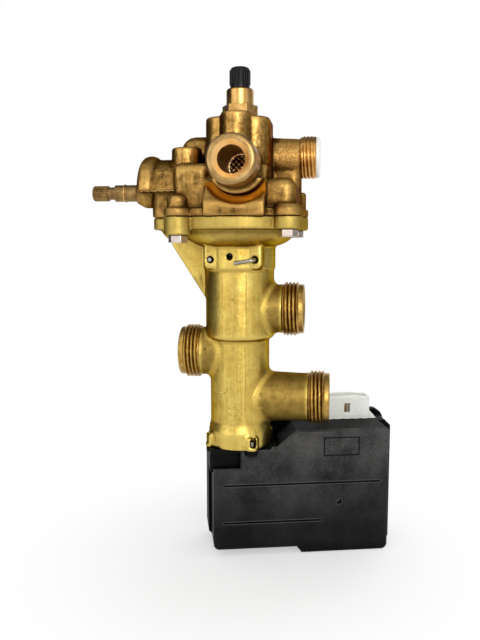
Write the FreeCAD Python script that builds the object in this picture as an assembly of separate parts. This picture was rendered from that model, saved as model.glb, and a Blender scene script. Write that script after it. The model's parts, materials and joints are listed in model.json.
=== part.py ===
import FreeCAD, Part
import math
import os
from FreeCAD import Vector

# Boiler diverter valve, in millimetres.
# It is drawn with the barrel's axis as Z and the lower right port's axis at z = 0, X along that port and
# Y to the back. On export everything moves so that the origin is the middle of that port's sealing face.

# Pipe threads, drawn as plain cylinders at their major diameter
PORT_THREAD_RADIUS = 13.22
PORT_END_RADIUS = 12.06
STUB_THREAD_RADIUS = 10.48

# Ports of the diverter body
LOWER_PORT_REACH = 45.0
UPPER_PORT_REACH = 32.0
LEFT_PORT_REACH = 29.4
UPPER_PORT_Z = 44.2
LEFT_PORT_Z = 22.4
PORT_NECK_RADIUS = 11.8
PORT_ROOT_RADIUS = 12.9
PORT_BORE_RADIUS = 9.0
PORT_THREAD_LENGTH = 8.0
PORT_END_BAND = 2.2
PORT_SHOULDER = 1.2
PORT_SEAT_CHAMFER = 1.0
PORT_BLEND = 3.0

# Barrel of the diverter body
BARREL_RADIUS = 14.75
UPPER_BARREL_RADIUS = 17.0
BARREL_STEP_Z = 29.5
BARREL_STEP_ROUNDING = 1.6
BAND_RADIUS = 17.6
BAND_DROP = 24.6
BAND_HEIGHT = 11.0
FOOT_DEPTH = 24.8
FOOT_RADIUS = 15.7
FOOT_HEIGHT = 15.0
FOOT_RIM = 8.0
FOOT_TAPER_END = 0.5
EAR_RADIUS = 3.2
EAR_CIRCLE = 15.2
EAR_HEIGHT = 7.0
EAR_BASE = 1.8
EAR_NOTCH_RADIUS = 1.8
EAR_NOTCH_OUT = 1.7
EAR_ANGLE = 30.0
EAR_COUNT = 4

# Bores and seats inside the barrel
LOWER_CHAMBER_RADIUS = 10.4
MIDDLE_CHAMBER_RADIUS = 11.2
UPPER_CHAMBER_RADIUS = 13.0
SEAT_HOLE_RADIUS = 7.5
SEAT_THICKNESS = 3.0
FOOT_BORE_RADIUS = 11.0
BUSH_LENGTH = 9.8

# Flange between the two castings, and the bowl below it
SEAM_Z = 88.6
FLANGE_THICKNESS = 5.8
FLANGE_RADIUS = 33.5
BOLT_OFFSET = 25.5
LOBE_RADIUS = 6.5
LONG_LOBE_DROP = 2.6
TONGUE_REACH = 41.9
TONGUE_FRONT = 11.0
TONGUE_BACK = 12.0
TONGUE_ROUNDING = 5.0
BOWL_RADIUS = 26.0
BOWL_OUTER_RADIUS = 28.4
BOWL_SWELL = 1.6
BOWL_FLOOR = 2.0
BOWL_RIM = 3.0
CHANNEL_RADIUS = 9.0
CHANNEL_LEFT = -31.5
CHANNEL_Y = 1.0
CHANNEL_DROP = 2.4
GUSSET_THICKNESS = 5.0
GUSSET_REACH = 34.0
GUSSET_TOP_DROP = 13.1
GUSSET_DROP = 39.6

# Flange bolts
BOLT_RADIUS = 2.5
BOLT_HEAD_FLATS = 8.0
BOLT_HEAD_HEIGHT = 3.6
BOLT_LENGTH = 10.8

# Wire clip, its pad and the sealing cartridge
CLIP_ANGLE = -6.0
CLIP_HALF_WIDTH = 10.95
CLIP_DROP = 6.4
CLIP_WIRE_RADIUS = 0.9
CLIP_HOLE_RADIUS = 1.5
CLIP_BEND_RADIUS = 1.8
CLIP_TAIL = 9.2
CLIP_TAIL_DROP = 1.6
CLIP_TIP = 0.6
PAD_HALF_WIDTH = 14.4
PAD_FACE = 15.7
PAD_ROUNDING = 3.0
PAD_EDGE = 1.2
WEEP_HOLE_RADIUS = 1.5
WEEP_HOLE_ANGLE = -9.0
WEEP_HOLE_DROP = 4.9
CARTRIDGE_LENGTH = 16.0
CARTRIDGE_BELOW_CLIP = 8.6
CARTRIDGE_GROOVE = 3.4
RING_SECTION = 1.05
RING_GROOVE_WIDTH = 2.5
RING_FROM_END = 3.2

# Shuttle: rod, discs, diaphragm plates and rack
STROKE = 6.5
ROD_RADIUS = 2.5
DISC_RADIUS = 9.0
DISC_THICKNESS = 2.5
SEAL_RADIUS = 9.6
SEAL_THICKNESS = 1.5
SEAL_GAP = 0.05
PLATE_RADIUS = 11.5
PLATE_THICKNESS = 1.8
DIAPHRAGM_THICKNESS = 1.2
DIAPHRAGM_RADIUS = 31.0
DIAPHRAGM_SAG = 7.4
GUIDE_RADIUS = 3.0
GUIDE_NUT_FLATS = 10.0
GUIDE_NUT_HEIGHT = 4.6
ROD_ABOVE_PLATE = 3.4
SPRING_RADIUS = 6.5
SPRING_WIRE_RADIUS = 0.7
SPRING_TURNS = 6

# Water section: heights are above the seam
UPPER_FLANGE_HEIGHT = 3.8
CHAMBER_HEIGHT = 11.2
ROOF_THICKNESS = 6.0
CAP_RADIUS = 28.6
CAP_HEIGHT = 16.8
CAP_ROUNDING = 5.0
COLUMN_HALF_WIDTH = 15.4
COLUMN_FRONT = 15.0
COLUMN_BACK = 16.0
COLUMN_CORNER = 8.0
COLUMN_HEIGHT = 47.0
COLUMN_TOP_ROUNDING = 1.2
COLUMN_BORE_RADIUS = 8.5
FRONT_BOSS_RADIUS = 7.1
FRONT_BOSS_Y = -14.1
FRONT_BOSS_RISE = 1.4
PILLAR_RADIUS = 5.8
FRONT_PILLAR_RADIUS = 5.0
FRONT_PILLAR_HEIGHT = 10.0
PILLAR_HEIGHT = 14.0
SHORT_BOSS_HEIGHT = 5.8

# Front inlet
INLET_X = 3.2
INLET_HEIGHT = 22.9
INLET_REACH = 52.0
INLET_NOSE_LENGTH = 16.5
INLET_NOSE_RADIUS = 10.9
INLET_PIPE_RADIUS = 9.2
INLET_COLLAR_RADIUS = 13.4
INLET_COLLAR_CUT = 6.4
INLET_BORE_RADIUS = 6.1
INLET_MOUTH_RADIUS = 8.2
INLET_MOUTH_DEPTH = 6.0
INLET_CLEARANCE_RADIUS = 17.3
INLET_CLEARANCE_Y = -27.0
INLET_NOSE_CHAMFER = 0.6
APRON_LEFT = -12.5
APRON_RIGHT = 15.5
APRON_STEP = 6.4
APRON_TOP = 24.0
APRON_TOP_Y = -20.0
STRAINER_LENGTH = 8.0
STRAINER_DEPTH = 35.0
STRAINER_WALL = 0.5
STRAINER_HOLE_HALF = 0.55
STRAINER_HOLE_SPACING = 1.6

# Right outlet
OUTLET_Y = 14.0
OUTLET_HEIGHT = 30.4
OUTLET_REACH = 36.8
OUTLET_THREAD_LENGTH = 7.2
OUTLET_NECK_RADIUS = 10.05
WEB_FRONT = 7.0
WEB_BACK = 22.0
WEB_ROUNDING = 4.0
OUTLET_BORE_RADIUS = 7.0
PLUG_FLANGE = 1.8
PLUG_FLANGE_RADIUS = 9.9
PLUG_STEM = 9.0

# Cast bosses on the left and right of the column
LEFT_BOSS_X = -25.0
LEFT_BOSS_Y = -8.5
LEFT_BOSS_RADIUS = 6.9
LEFT_BOSS_HEIGHT = 33.2
HUMP_RADIUS = 7.4
HUMP_Y = 1.0
HUMP_HEIGHT = 32.2
HUMP_LEFT = -21.7
LEFT_BLOCK_LEFT = -28.0
LEFT_BLOCK_RIGHT = -10.5
LEFT_BLOCK_FRONT = -26.5
LEFT_BLOCK_LOW = 2.0
LEFT_BLOCK_HIGH = 24.6
LEFT_BLOCK_ROUNDING = 4.2
RIGHT_BLOCK_RIGHT = 28.8
RIGHT_BLOCK_FRONT = -25.5
RIGHT_BLOCK_LOW = 2.2
RIGHT_BLOCK_HIGH = 17.6
RIGHT_BLOCK_ROUNDING = 4.8

# Filling tap on the left
TAP_HEIGHT = 12.4
TAP_Y = -3.0
TAP_FACE_X = -47.4
TAP_NOSE_X = -51.0
TAP_NOSE_WALL = 0.9
TAP_CONE_X = -46.6
TAP_RIGHT_X = -24.5
TAP_HOOD_RADIUS = 16.0
TAP_BEAD_RADIUS = 17.8
TAP_HOOD_ROUNDING = 3.0
TAP_BEAD_WIDTH = 9.0
TAP_BEAD_ROUNDING = 4.0
TAP_NECK_RADIUS = 7.4
TAP_WALL_FRONT = 10.0
TAP_WALL_BACK = 9.0
TAP_SHAFT_RADIUS = 4.1
TAP_SHAFT_LEFT = -62.0
TAP_TIP_X = -73.3
TAP_SPLINE_LENGTH = 7.6
TAP_SPLINE_RADIUS = 3.4
TAP_SPLINE_RIB = 0.42
TAP_SPLINE_COUNT = 18
TAP_WAIST_RADIUS = 3.1
TAP_FOOT_RADIUS = 2.5
TAP_FOOT_LENGTH = 4.4
TAP_CHAMBER_RADIUS = 6.4
TAP_CHAMBER_LENGTH = 9.5
TAP_CHAMBER_LEFT = -40.0
TAP_SEAT_RADIUS = 3.0
TAP_TRAVEL = 1.6
JUMPER_RADIUS = 5.4
JUMPER_DISC = 2.6
CIRCLIP_X = -57.4
CIRCLIP_THICKNESS = 0.8
CIRCLIP_RADIUS = 4.4
CIRCLIP_GROOVE_RADIUS = 3.7

# Gland, spindle, knob and throttle on top: heights are above the column's top
GLAND_FLATS = 15.0
GLAND_HEX_HEIGHT = 6.7
GLAND_SLEEVE_RADIUS = 6.65
GLAND_HEIGHT = 14.7
GLAND_CHAMFER = 0.8
GLAND_SPIGOT = 8.0
ADJUSTER_RADIUS = 3.0
ADJUSTER_COLLAR_RADIUS = 4.4
ADJUSTER_COLLAR = 2.0
ADJUSTER_BELOW_COLLAR = 8.0
KNOB_RADIUS = 4.75
KNOB_HEIGHT = 9.8
KNOB_RIB = 0.36
KNOB_RIB_COUNT = 26
KNOB_BAND = 1.6
KNOB_TOP_ROUNDING = 1.6
KNOB_SOCKET = 6.5
THROTTLE_RADIUS = 7.6
THROTTLE_DISC = 3.0
THROTTLE_HUB_RADIUS = 4.6
THROTTLE_LENGTH = 7.0
THROTTLE_TRAVEL = 2.0

# Actuator: its own X and Y are turned about the barrel's axis
ACTUATOR_ANGLE = 14.0
WALL = 2.0
COVER_FRONT = -13.9
COVER_BACK = 2.0
COVER_LEFT = -14.5
COVER_RIGHT = 74.2
COVER_BOTTOM_LEFT = -76.0
COVER_BOTTOM_RIGHT = -79.2
COVER_JOG_X = 27.5
COVER_JOG_RUN = 2.6
COVER_TOP = -15.6
COVER_SHELF = -24.0
COVER_SLANT_LOW_X = 17.0
COVER_SLANT_HIGH_X = 27.0
COVER_NOTCH_X = -1.0
COVER_NOTCH = -34.4
COVER_CORNER = 3.0
COVER_TOP_CHAMFER = 1.4
COVER_EDGE = 1.0
GROOVE_WIDTH = 1.0
GROOVE_DEPTH = 0.8
GROOVE_LEFT = -9.5
LONG_GROOVE_Z = -42.9
LONG_GROOVE_RIGHT = 69.6
SHORT_GROOVE_Z = -62.1
SHORT_GROOVE_RIGHT = 39.8
COVER_HOLE_X = 48.8
COVER_HOLE_Z = -52.9
COVER_HOLE_RADIUS = 1.4
HOUSING_LEFT = -16.0
HOUSING_RIGHT = 79.6
HOUSING_BACK = 20.1
HOUSING_BOTTOM_LEFT = -72.0
HOUSING_LEFT_CHAMFER = 4.0
HOUSING_TOP_CHAMFER = 3.0
HOOD_TOP = -12.7
HOOD_FRONT = 15.4
HOOD_LEFT = 14.0
HOOD_CORNER = 6.0
DECK_THICKNESS = 2.5
DECK_FRONT = -11.6
DECK_RIGHT = 16.5
DECK_HOLE_SPARE = 1.2
RECESS_DEPTH = 3.6
FOOT_POCKET_RADIUS = 19.6
POST_RADIUS = 3.0
POST_INSET = 6.0
SCREW_RADIUS = 1.25
SCREW_HEAD_RADIUS = 2.4
SCREW_HEAD_HEIGHT = 2.0
SCREW_BITE = 7.0
STUD_RADIUS = 1.2
STUD_TIP = 2.4
STUD_LUG_RADIUS = 2.8
STUD_LUG_LENGTH = 6.0

# Rack, pinion, motor and switches in the actuator
GEAR_MODULE = 0.8
PINION_TEETH = 15
PRESSURE_ANGLE = 20.0
BACKLASH = 0.16
DEDENDUM = 1.25
FLANK_STEPS = 3
CENTRE_SPREAD = 0.06
PINION_Z = -48.0
PINION_WIDTH = 8.0
PINION_SHAFT_RADIUS = 2.0
PINION_SHAFT_LENGTH = 6.0
RACK_BACK = 3.0
RACK_PITCH_X = 4.0
RACK_DEPTH = 7.0
RACK_TEETH = 8
RACK_SOCKET = 5.0
RACK_END = 3.0
GEARBOX_LEFT = 4.5
GEARBOX_RIGHT = 58.0
GEARBOX_TOP = -34.0
GEARBOX_BOTTOM = -68.0
GEARBOX_FRONT = 6.0
MOTOR_RADIUS = 13.0
MOTOR_X = 42.0
MOTOR_Z = -51.0
MOTOR_FRONT = -9.5
SWITCH_LENGTH = 7.6
SWITCH_DEPTH = 6.0
SWITCH_HEIGHT = 5.6
SWITCH_HIGH_Z = -43.0
SWITCH_LOW_Z = -60.0

# Connector on top of the actuator
CONNECTOR_X = 57.4
CONNECTOR_WIDTH = 24.0
CONNECTOR_FRONT = 6.0
CONNECTOR_DEPTH = 9.2
CONNECTOR_HEIGHT = 11.6
CONNECTOR_ARCH = 0.8
CONNECTOR_WALL = 1.3
CONNECTOR_WINDOW_WIDTH = 3.0
CONNECTOR_WINDOW_HEIGHT = 4.8
CONNECTOR_WINDOW_LOW = 3.4
TERMINAL_COUNT = 5
TERMINAL_SPACING = 3.6
TERMINAL_WIDTH = 1.6
TERMINAL_THICKNESS = 0.8
TERMINAL_ABOVE = 8.2
TERMINAL_BELOW = 2.4

# Clearances
RUNNING_FIT = 0.06
LOOSE_FIT = 0.1
FREE_GAP = 0.3

# How near two places must be to count as the same
SAME = 1e-4

# Places worked out from the sizes above
FOOT_Z = -FOOT_DEPTH
FLANGE_LOW = SEAM_Z - FLANGE_THICKNESS
BAND_LOW = SEAM_Z - BAND_DROP
BAND_HIGH = BAND_LOW + BAND_HEIGHT
CLIP_Z = BAND_HIGH - CLIP_DROP
CARTRIDGE_LOW = CLIP_Z - CARTRIDGE_BELOW_CLIP
CARTRIDGE_HIGH = CARTRIDGE_LOW + CARTRIDGE_LENGTH
LAND_LOW = (LEFT_PORT_Z - SEAT_THICKNESS) / 2
LAND_HIGH = LAND_LOW + SEAT_THICKNESS
SEAT_LOW = (LEFT_PORT_Z + UPPER_PORT_Z - SEAT_THICKNESS) / 2
SEAT_HIGH = SEAT_LOW + SEAT_THICKNESS
LOWER_SEAL_HIGH = LAND_LOW - SEAL_GAP - STROKE
UPPER_SEAL_LOW = SEAT_HIGH + SEAL_GAP
UPPER_DISC_HIGH = UPPER_SEAL_LOW + SEAL_THICKNESS + DISC_THICKNESS
DIAPHRAGM_LOW = SEAM_Z - DIAPHRAGM_SAG
DIAPHRAGM_HIGH = DIAPHRAGM_LOW + DIAPHRAGM_THICKNESS
UPPER_PLATE_HIGH = DIAPHRAGM_HIGH + PLATE_THICKNESS
ROOF_LOW = SEAM_Z + CHAMBER_HEIGHT
ROOF_HIGH = ROOF_LOW + ROOF_THICKNESS
COLUMN_TOP = SEAM_Z + COLUMN_HEIGHT
INLET_Z = SEAM_Z + INLET_HEIGHT
OUTLET_Z = SEAM_Z + OUTLET_HEIGHT
TAP_Z = SEAM_Z + TAP_HEIGHT
GLAND_LOW = COLUMN_TOP - GLAND_SPIGOT
GLAND_TOP = COLUMN_TOP + GLAND_HEIGHT
COLLAR_LOW = GLAND_LOW - FREE_GAP - ADJUSTER_COLLAR
THROTTLE_HIGH = COLLAR_LOW - FREE_GAP - THROTTLE_TRAVEL
DECK_LOW = FOOT_Z - DECK_THICKNESS
RACK_TOP_Z = DECK_LOW - FREE_GAP - STROKE
GEAR_PITCH_RADIUS = GEAR_MODULE * PINION_TEETH / 2
PINION_X = RACK_PITCH_X + GEAR_PITCH_RADIUS + CENTRE_SPREAD
TOOTH_PITCH = math.pi * GEAR_MODULE
HOUSING_INNER_BACK = HOUSING_BACK - WALL

HEXAGON_SIDES = 6
ORIGIN = Vector(0, 0, 0)
AXIS_X = Vector(1, 0, 0)
AXIS_Y = Vector(0, 1, 0)
AXIS_Z = Vector(0, 0, 1)


# Shapes used throughout

def round_z(radius, low, high, x=0.0, y=0.0):
    return Part.makeCylinder(radius, high - low, Vector(x, y, low), AXIS_Z)


def round_x(radius, left, right, y, z):
    return Part.makeCylinder(radius, right - left, Vector(left, y, z), AXIS_X)


def round_y(radius, front, back, x, z):
    return Part.makeCylinder(radius, back - front, Vector(x, front, z), AXIS_Y)


def block(left, right, front, back, low, high):
    return Part.makeBox(right - left, back - front, high - low, Vector(left, front, low))


def ring_z(inner, outer, low, high):
    return round_z(outer, low, high).cut(round_z(inner, low, high))


def lathe(profile):
    """Solid of revolution about Z from (radius, height) corners."""
    corners = [Vector(radius, 0, height) for radius, height in profile]
    wire = Part.makePolygon(corners + corners[:1])
    return Part.Face(wire).revolve(ORIGIN, AXIS_Z, 360)


def hexagon_corner(flats):
    return flats / 2 / math.cos(math.pi / HEXAGON_SIDES)


def hexagon_z(flats, low, high, x=0.0, y=0.0, turn=0.0):
    corner = hexagon_corner(flats)
    points = []
    for side in range(HEXAGON_SIDES + 1):
        angle = math.radians(side * 360 / HEXAGON_SIDES + turn)
        points.append(Vector(x + corner * math.cos(angle), y + corner * math.sin(angle), low))
    return Part.Face(Part.makePolygon(points)).extrude(Vector(0, 0, high - low))


def outline_y(points, front, back):
    """Prism along Y from (x, z) corners."""
    corners = [Vector(x, front, z) for x, z in points]
    return Part.Face(Part.makePolygon(corners + corners[:1])).extrude(Vector(0, back - front, 0))


def outline_x(points, left, right):
    """Prism along X from (y, z) corners."""
    corners = [Vector(left, y, z) for y, z in points]
    return Part.Face(Part.makePolygon(corners + corners[:1])).extrude(Vector(right - left, 0, 0))


def joined(shapes):
    first = shapes[0]
    return first.multiFuse(shapes[1:])


def along_x(shape, place):
    """Turns a shape drawn up Z so that it points along +X, and puts its start at place."""
    turned = shape.copy()
    turned.rotate(ORIGIN, AXIS_Y, 90)
    turned.translate(place)
    return turned


def along_minus_x(shape, place):
    turned = shape.copy()
    turned.rotate(ORIGIN, AXIS_Y, -90)
    turned.translate(place)
    return turned


def along_minus_y(shape, place):
    turned = shape.copy()
    turned.rotate(ORIGIN, AXIS_X, 90)
    turned.translate(place)
    return turned


def turned_z(shape, degrees):
    turned = shape.copy()
    turned.rotate(ORIGIN, AXIS_Z, degrees)
    return turned


def edges_where(shape, wanted):
    return [edge for edge in shape.Edges if wanted(edge)]


def is_upright(edge):
    if len(edge.Vertexes) < 2:
        return False
    step = edge.Vertexes[1].Point - edge.Vertexes[0].Point
    return abs(step.x) < SAME and abs(step.y) < SAME


def is_along_y(edge):
    if len(edge.Vertexes) < 2:
        return False
    step = edge.Vertexes[1].Point - edge.Vertexes[0].Point
    return abs(step.x) < SAME and abs(step.z) < SAME


def lies_at_z(edge, height):
    box = edge.BoundBox
    return abs(box.ZMin - height) < SAME and abs(box.ZMax - height) < SAME


def lies_at_y(edge, depth):
    box = edge.BoundBox
    return abs(box.YMin - depth) < SAME and abs(box.YMax - depth) < SAME


def is_meeting_line(edge):
    return edge.Curve.TypeId == "Part::GeomBSplineCurve"


def is_circle(edge):
    return edge.Curve.TypeId == "Part::GeomCircle"


def rounded_block(left, right, front, back, low, high, corner):
    body = block(left, right, front, back, low, high)
    return body.makeFillet(corner, edges_where(body, is_upright))


def pillow(left, right, front, back, low, high, rounding):
    """Block with all its edges rounded."""
    body = block(left, right, front, back, low, high)
    return body.makeFillet(rounding, body.Edges)


def domed(radius, low, high, x, y, rounding):
    """Upright boss with a rounded top edge."""
    boss = round_z(radius, low, high, x, y)
    return boss.makeFillet(rounding, edges_where(boss, lambda edge: lies_at_z(edge, high)))


def bent_wire(points, radius, bend):
    """Round wire along straight runs joined by tangent arcs."""
    edges = []
    start = points[0]
    for before, corner, after in zip(points, points[1:], points[2:]):
        inward = (before - corner).normalize()
        outward = (after - corner).normalize()
        half = inward.getAngle(outward) / 2
        setback = bend / math.tan(half)
        first = corner + inward * setback
        last = corner + outward * setback
        bisector = (inward + outward).normalize()
        middle = corner + bisector * (bend / math.sin(half) - bend)
        edges.append(Part.LineSegment(start, first).toShape())
        edges.append(Part.Arc(first, middle, last).toShape())
        start = last
    edges.append(Part.LineSegment(start, points[-1]).toShape())
    path = Part.Wire(edges)
    section = Part.Wire([Part.Circle(points[0], points[1] - points[0], radius).toShape()])
    return Part.Solid(path.makePipeShell([section], True, True))


def bolt_places():
    return [(side_x * BOLT_OFFSET, side_y * BOLT_OFFSET) for side_x in (-1, 1) for side_y in (-1, 1)]


def lobe_low(x, y):
    """The lobe at the front left hangs lower than the others."""
    if x < 0 and y < 0:
        return FLANGE_LOW - LONG_LOBE_DROP
    return FLANGE_LOW


def ear_angles():
    return [EAR_ANGLE - 90 + ear * 360 / EAR_COUNT for ear in range(EAR_COUNT)]


def ear_places(circle):
    places = []
    for degrees in ear_angles():
        angle = math.radians(degrees)
        places.append((circle * math.cos(angle), circle * math.sin(angle)))
    return places


# Diverter body

def port_stub(reach):
    """Neck, threaded end and end band of one port, pointing up Z."""
    thread_start = reach - PORT_END_BAND - PORT_THREAD_LENGTH
    band_start = reach - PORT_END_BAND
    return lathe([
        (0, 0),
        (PORT_ROOT_RADIUS, 0),
        (PORT_NECK_RADIUS, thread_start - PORT_SHOULDER),
        (PORT_THREAD_RADIUS, thread_start),
        (PORT_THREAD_RADIUS, band_start),
        (PORT_END_RADIUS, band_start),
        (PORT_END_RADIUS, reach),
        (0, reach),
    ])


def port_bore(reach):
    """Bore of one port, with the chamfer that a union's tail seats on."""
    return lathe([
        (0, 0),
        (PORT_BORE_RADIUS, 0),
        (PORT_BORE_RADIUS, reach - PORT_SEAT_CHAMFER),
        (PORT_BORE_RADIUS + PORT_SEAT_CHAMFER, reach),
        (0, reach),
    ])


def lower_barrel():
    barrel = round_z(BARREL_RADIUS, FOOT_Z, UPPER_PORT_Z)
    right = along_x(port_stub(LOWER_PORT_REACH), ORIGIN)
    left = along_minus_x(port_stub(LEFT_PORT_REACH), Vector(0, 0, LEFT_PORT_Z))
    shape = joined([barrel, right, left]).removeSplitter()
    return shape.makeFillet(PORT_BLEND, edges_where(shape, is_meeting_line))


def upper_barrel():
    barrel = round_z(UPPER_BARREL_RADIUS, BARREL_STEP_Z, BAND_HIGH)
    bottom = edges_where(barrel, lambda edge: lies_at_z(edge, BARREL_STEP_Z))
    barrel = barrel.makeFillet(BARREL_STEP_ROUNDING, bottom)
    stub = along_x(port_stub(UPPER_PORT_REACH), Vector(0, 0, UPPER_PORT_Z))
    shape = joined([barrel, stub]).removeSplitter()
    return shape.makeFillet(PORT_BLEND, edges_where(shape, is_meeting_line))


def bowl_outside():
    """Cup that widens from the barrel to the flange."""
    low = Vector(BAND_RADIUS, 0, BAND_HIGH)
    high = Vector(BOWL_OUTER_RADIUS, 0, FLANGE_LOW)
    inward = (high - low).cross(AXIS_Y).normalize()
    middle = (low + high) * 0.5 - inward * BOWL_SWELL
    top_edge = Part.LineSegment(high, Vector(0, 0, FLANGE_LOW)).toShape()
    axis_edge = Part.LineSegment(Vector(0, 0, FLANGE_LOW), Vector(0, 0, BAND_HIGH)).toShape()
    low_edge = Part.LineSegment(Vector(0, 0, BAND_HIGH), low).toShape()
    side = Part.Arc(low, middle, high).toShape()
    face = Part.Face(Part.Wire([side, top_edge, axis_edge, low_edge]))
    return face.revolve(ORIGIN, AXIS_Z, 360)


def flange_plate(low, high):
    """Round flange with four bolt lobes and the tongue on the left."""
    pieces = [round_z(FLANGE_RADIUS, low, high)]
    for x, y in bolt_places():
        pieces.append(round_z(LOBE_RADIUS, low, high, x, y))
    pieces.append(rounded_block(-TONGUE_REACH, 0, -TONGUE_FRONT, TONGUE_BACK, low, high, TONGUE_ROUNDING))
    return joined(pieces)


def tongue_channel():
    """Round-ended passage under the tongue that carries water to the tap."""
    height = SEAM_Z - CHANNEL_DROP
    tube = round_x(CHANNEL_RADIUS, CHANNEL_LEFT, 0, CHANNEL_Y, height)
    tube = tube.fuse(Part.makeSphere(CHANNEL_RADIUS, Vector(CHANNEL_LEFT, CHANNEL_Y, height)))
    return tube.cut(block(-TONGUE_REACH, 0, -FLANGE_RADIUS, FLANGE_RADIUS, SEAM_Z, SEAM_Z + CHANNEL_RADIUS))


def gusset():
    points = [
        (0, SEAM_Z - GUSSET_DROP),
        (-UPPER_BARREL_RADIUS, SEAM_Z - GUSSET_DROP),
        (-GUSSET_REACH, SEAM_Z - GUSSET_TOP_DROP),
        (-GUSSET_REACH, FLANGE_LOW),
        (0, FLANGE_LOW),
    ]
    return outline_y(points, -GUSSET_THICKNESS / 2, GUSSET_THICKNESS / 2)


def clip_pad():
    pad = block(-PAD_HALF_WIDTH, PAD_HALF_WIDTH, -PAD_FACE, 0, BAND_LOW, BAND_HIGH)
    corners = edges_where(pad, lambda edge: is_along_y(edge) and edge.BoundBox.ZMax < BAND_LOW + SAME)
    pad = pad.makeFillet(PAD_ROUNDING, corners)
    front = edges_where(pad, lambda edge: lies_at_y(edge, -PAD_FACE) and not lies_at_z(edge, BAND_HIGH))
    return turned_z(pad.makeFillet(PAD_EDGE, front), CLIP_ANGLE)


def foot():
    flare = lathe([
        (0, FOOT_Z),
        (FOOT_RADIUS, FOOT_Z),
        (FOOT_RADIUS, FOOT_Z + FOOT_RIM),
        (BARREL_RADIUS - FOOT_TAPER_END, FOOT_Z + FOOT_HEIGHT),
        (0, FOOT_Z + FOOT_HEIGHT),
    ])
    pieces = [flare]
    top = FOOT_Z + EAR_HEIGHT
    for x, y in ear_places(EAR_CIRCLE):
        pieces.append(domed(EAR_RADIUS, FOOT_Z, top, x, y, EAR_RADIUS / 2))
    return joined(pieces)


def ear_notches():
    """Round-topped pockets that leave each ear a thin base for its stud."""
    notches = []
    low = FOOT_Z + EAR_BASE
    high = FOOT_Z + EAR_HEIGHT - EAR_NOTCH_RADIUS
    for x, y in ear_places(EAR_CIRCLE + EAR_NOTCH_OUT):
        notches.append(round_z(EAR_NOTCH_RADIUS, low, high, x, y))
        notches.append(Part.makeSphere(EAR_NOTCH_RADIUS, Vector(x, y, high)))
    return notches


def barrel_bores():
    bowl_floor = BAND_HIGH + BOWL_FLOOR
    bush_shoulder = FOOT_Z + BUSH_LENGTH
    return lathe([
        (0, FOOT_Z),
        (FOOT_BORE_RADIUS, FOOT_Z),
        (FOOT_BORE_RADIUS, bush_shoulder),
        (LOWER_CHAMBER_RADIUS, bush_shoulder),
        (LOWER_CHAMBER_RADIUS, LAND_LOW),
        (SEAT_HOLE_RADIUS, LAND_LOW),
        (SEAT_HOLE_RADIUS, LAND_HIGH),
        (MIDDLE_CHAMBER_RADIUS, LAND_HIGH),
        (MIDDLE_CHAMBER_RADIUS, SEAT_LOW),
        (UPPER_CHAMBER_RADIUS, SEAT_LOW),
        (UPPER_CHAMBER_RADIUS, bowl_floor),
        (BOWL_RADIUS, SEAM_Z - BOWL_RIM),
        (BOWL_RADIUS, SEAM_Z),
        (0, SEAM_Z),
    ])


def clip_holes():
    holes = []
    through = 2 * BAND_RADIUS
    for side in (-1, 1):
        holes.append(round_y(CLIP_HOLE_RADIUS, -through, through, side * CLIP_HALF_WIDTH, CLIP_Z))
    return turned_z(joined(holes), CLIP_ANGLE)


def weep_hole():
    hole = round_y(WEEP_HOLE_RADIUS, -2 * BAND_RADIUS, 0, 0, BAND_HIGH - WEEP_HOLE_DROP)
    return turned_z(hole, WEEP_HOLE_ANGLE)


def diverter_body():
    band = round_z(BAND_RADIUS, BAND_LOW, BAND_HIGH)
    pieces = [lower_barrel(), upper_barrel(), band, bowl_outside(), flange_plate(FLANGE_LOW, SEAM_Z)]
    pieces += [gusset(), tongue_channel(), clip_pad(), foot()]
    for x, y in bolt_places():
        pieces.append(round_z(LOBE_RADIUS, lobe_low(x, y), SEAM_Z, x, y))
    body = joined(pieces)
    holes = [barrel_bores(), clip_holes(), weep_hole()]
    holes.append(along_x(port_bore(LOWER_PORT_REACH), ORIGIN))
    holes.append(along_minus_x(port_bore(LEFT_PORT_REACH), Vector(0, 0, LEFT_PORT_Z)))
    holes.append(along_x(port_bore(UPPER_PORT_REACH), Vector(0, 0, UPPER_PORT_Z)))
    for x, y in bolt_places():
        holes.append(round_z(BOLT_RADIUS + FREE_GAP, lobe_low(x, y), SEAM_Z, x, y))
    for x, y in ear_places(EAR_CIRCLE):
        holes.append(round_z(STUD_RADIUS + LOOSE_FIT, FOOT_Z, FOOT_Z + EAR_BASE + STUD_TIP + FREE_GAP, x, y))
    holes += ear_notches()
    return body.cut(holes)


# Pieces that the diverter body holds

def flange_bolts():
    bolts = []
    for x, y in bolt_places():
        low = lobe_low(x, y)
        head = hexagon_z(BOLT_HEAD_FLATS, low - BOLT_HEAD_HEIGHT, low, x, y)
        bolts.append(head.fuse(round_z(BOLT_RADIUS, low, low + BOLT_LENGTH, x, y)))
    return Part.makeCompound(bolts)


def retaining_clip():
    """Wire staple pushed in from the back, with one leg bent over at the front."""
    back = BAND_RADIUS + CLIP_WIRE_RADIUS + FREE_GAP
    front = -max(PAD_FACE, BAND_RADIUS) - CLIP_WIRE_RADIUS - FREE_GAP
    points = [
        Vector(-CLIP_HALF_WIDTH, -PAD_FACE - CLIP_TIP, CLIP_Z),
        Vector(-CLIP_HALF_WIDTH, back, CLIP_Z),
        Vector(CLIP_HALF_WIDTH, back, CLIP_Z),
        Vector(CLIP_HALF_WIDTH, front, CLIP_Z),
        Vector(CLIP_HALF_WIDTH - CLIP_TAIL, front, CLIP_Z - CLIP_TAIL_DROP),
    ]
    return turned_z(bent_wire(points, CLIP_WIRE_RADIUS, CLIP_BEND_RADIUS), CLIP_ANGLE)


def ring_heights():
    return [CARTRIDGE_LOW + RING_FROM_END, CARTRIDGE_HIGH - RING_FROM_END]


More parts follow.
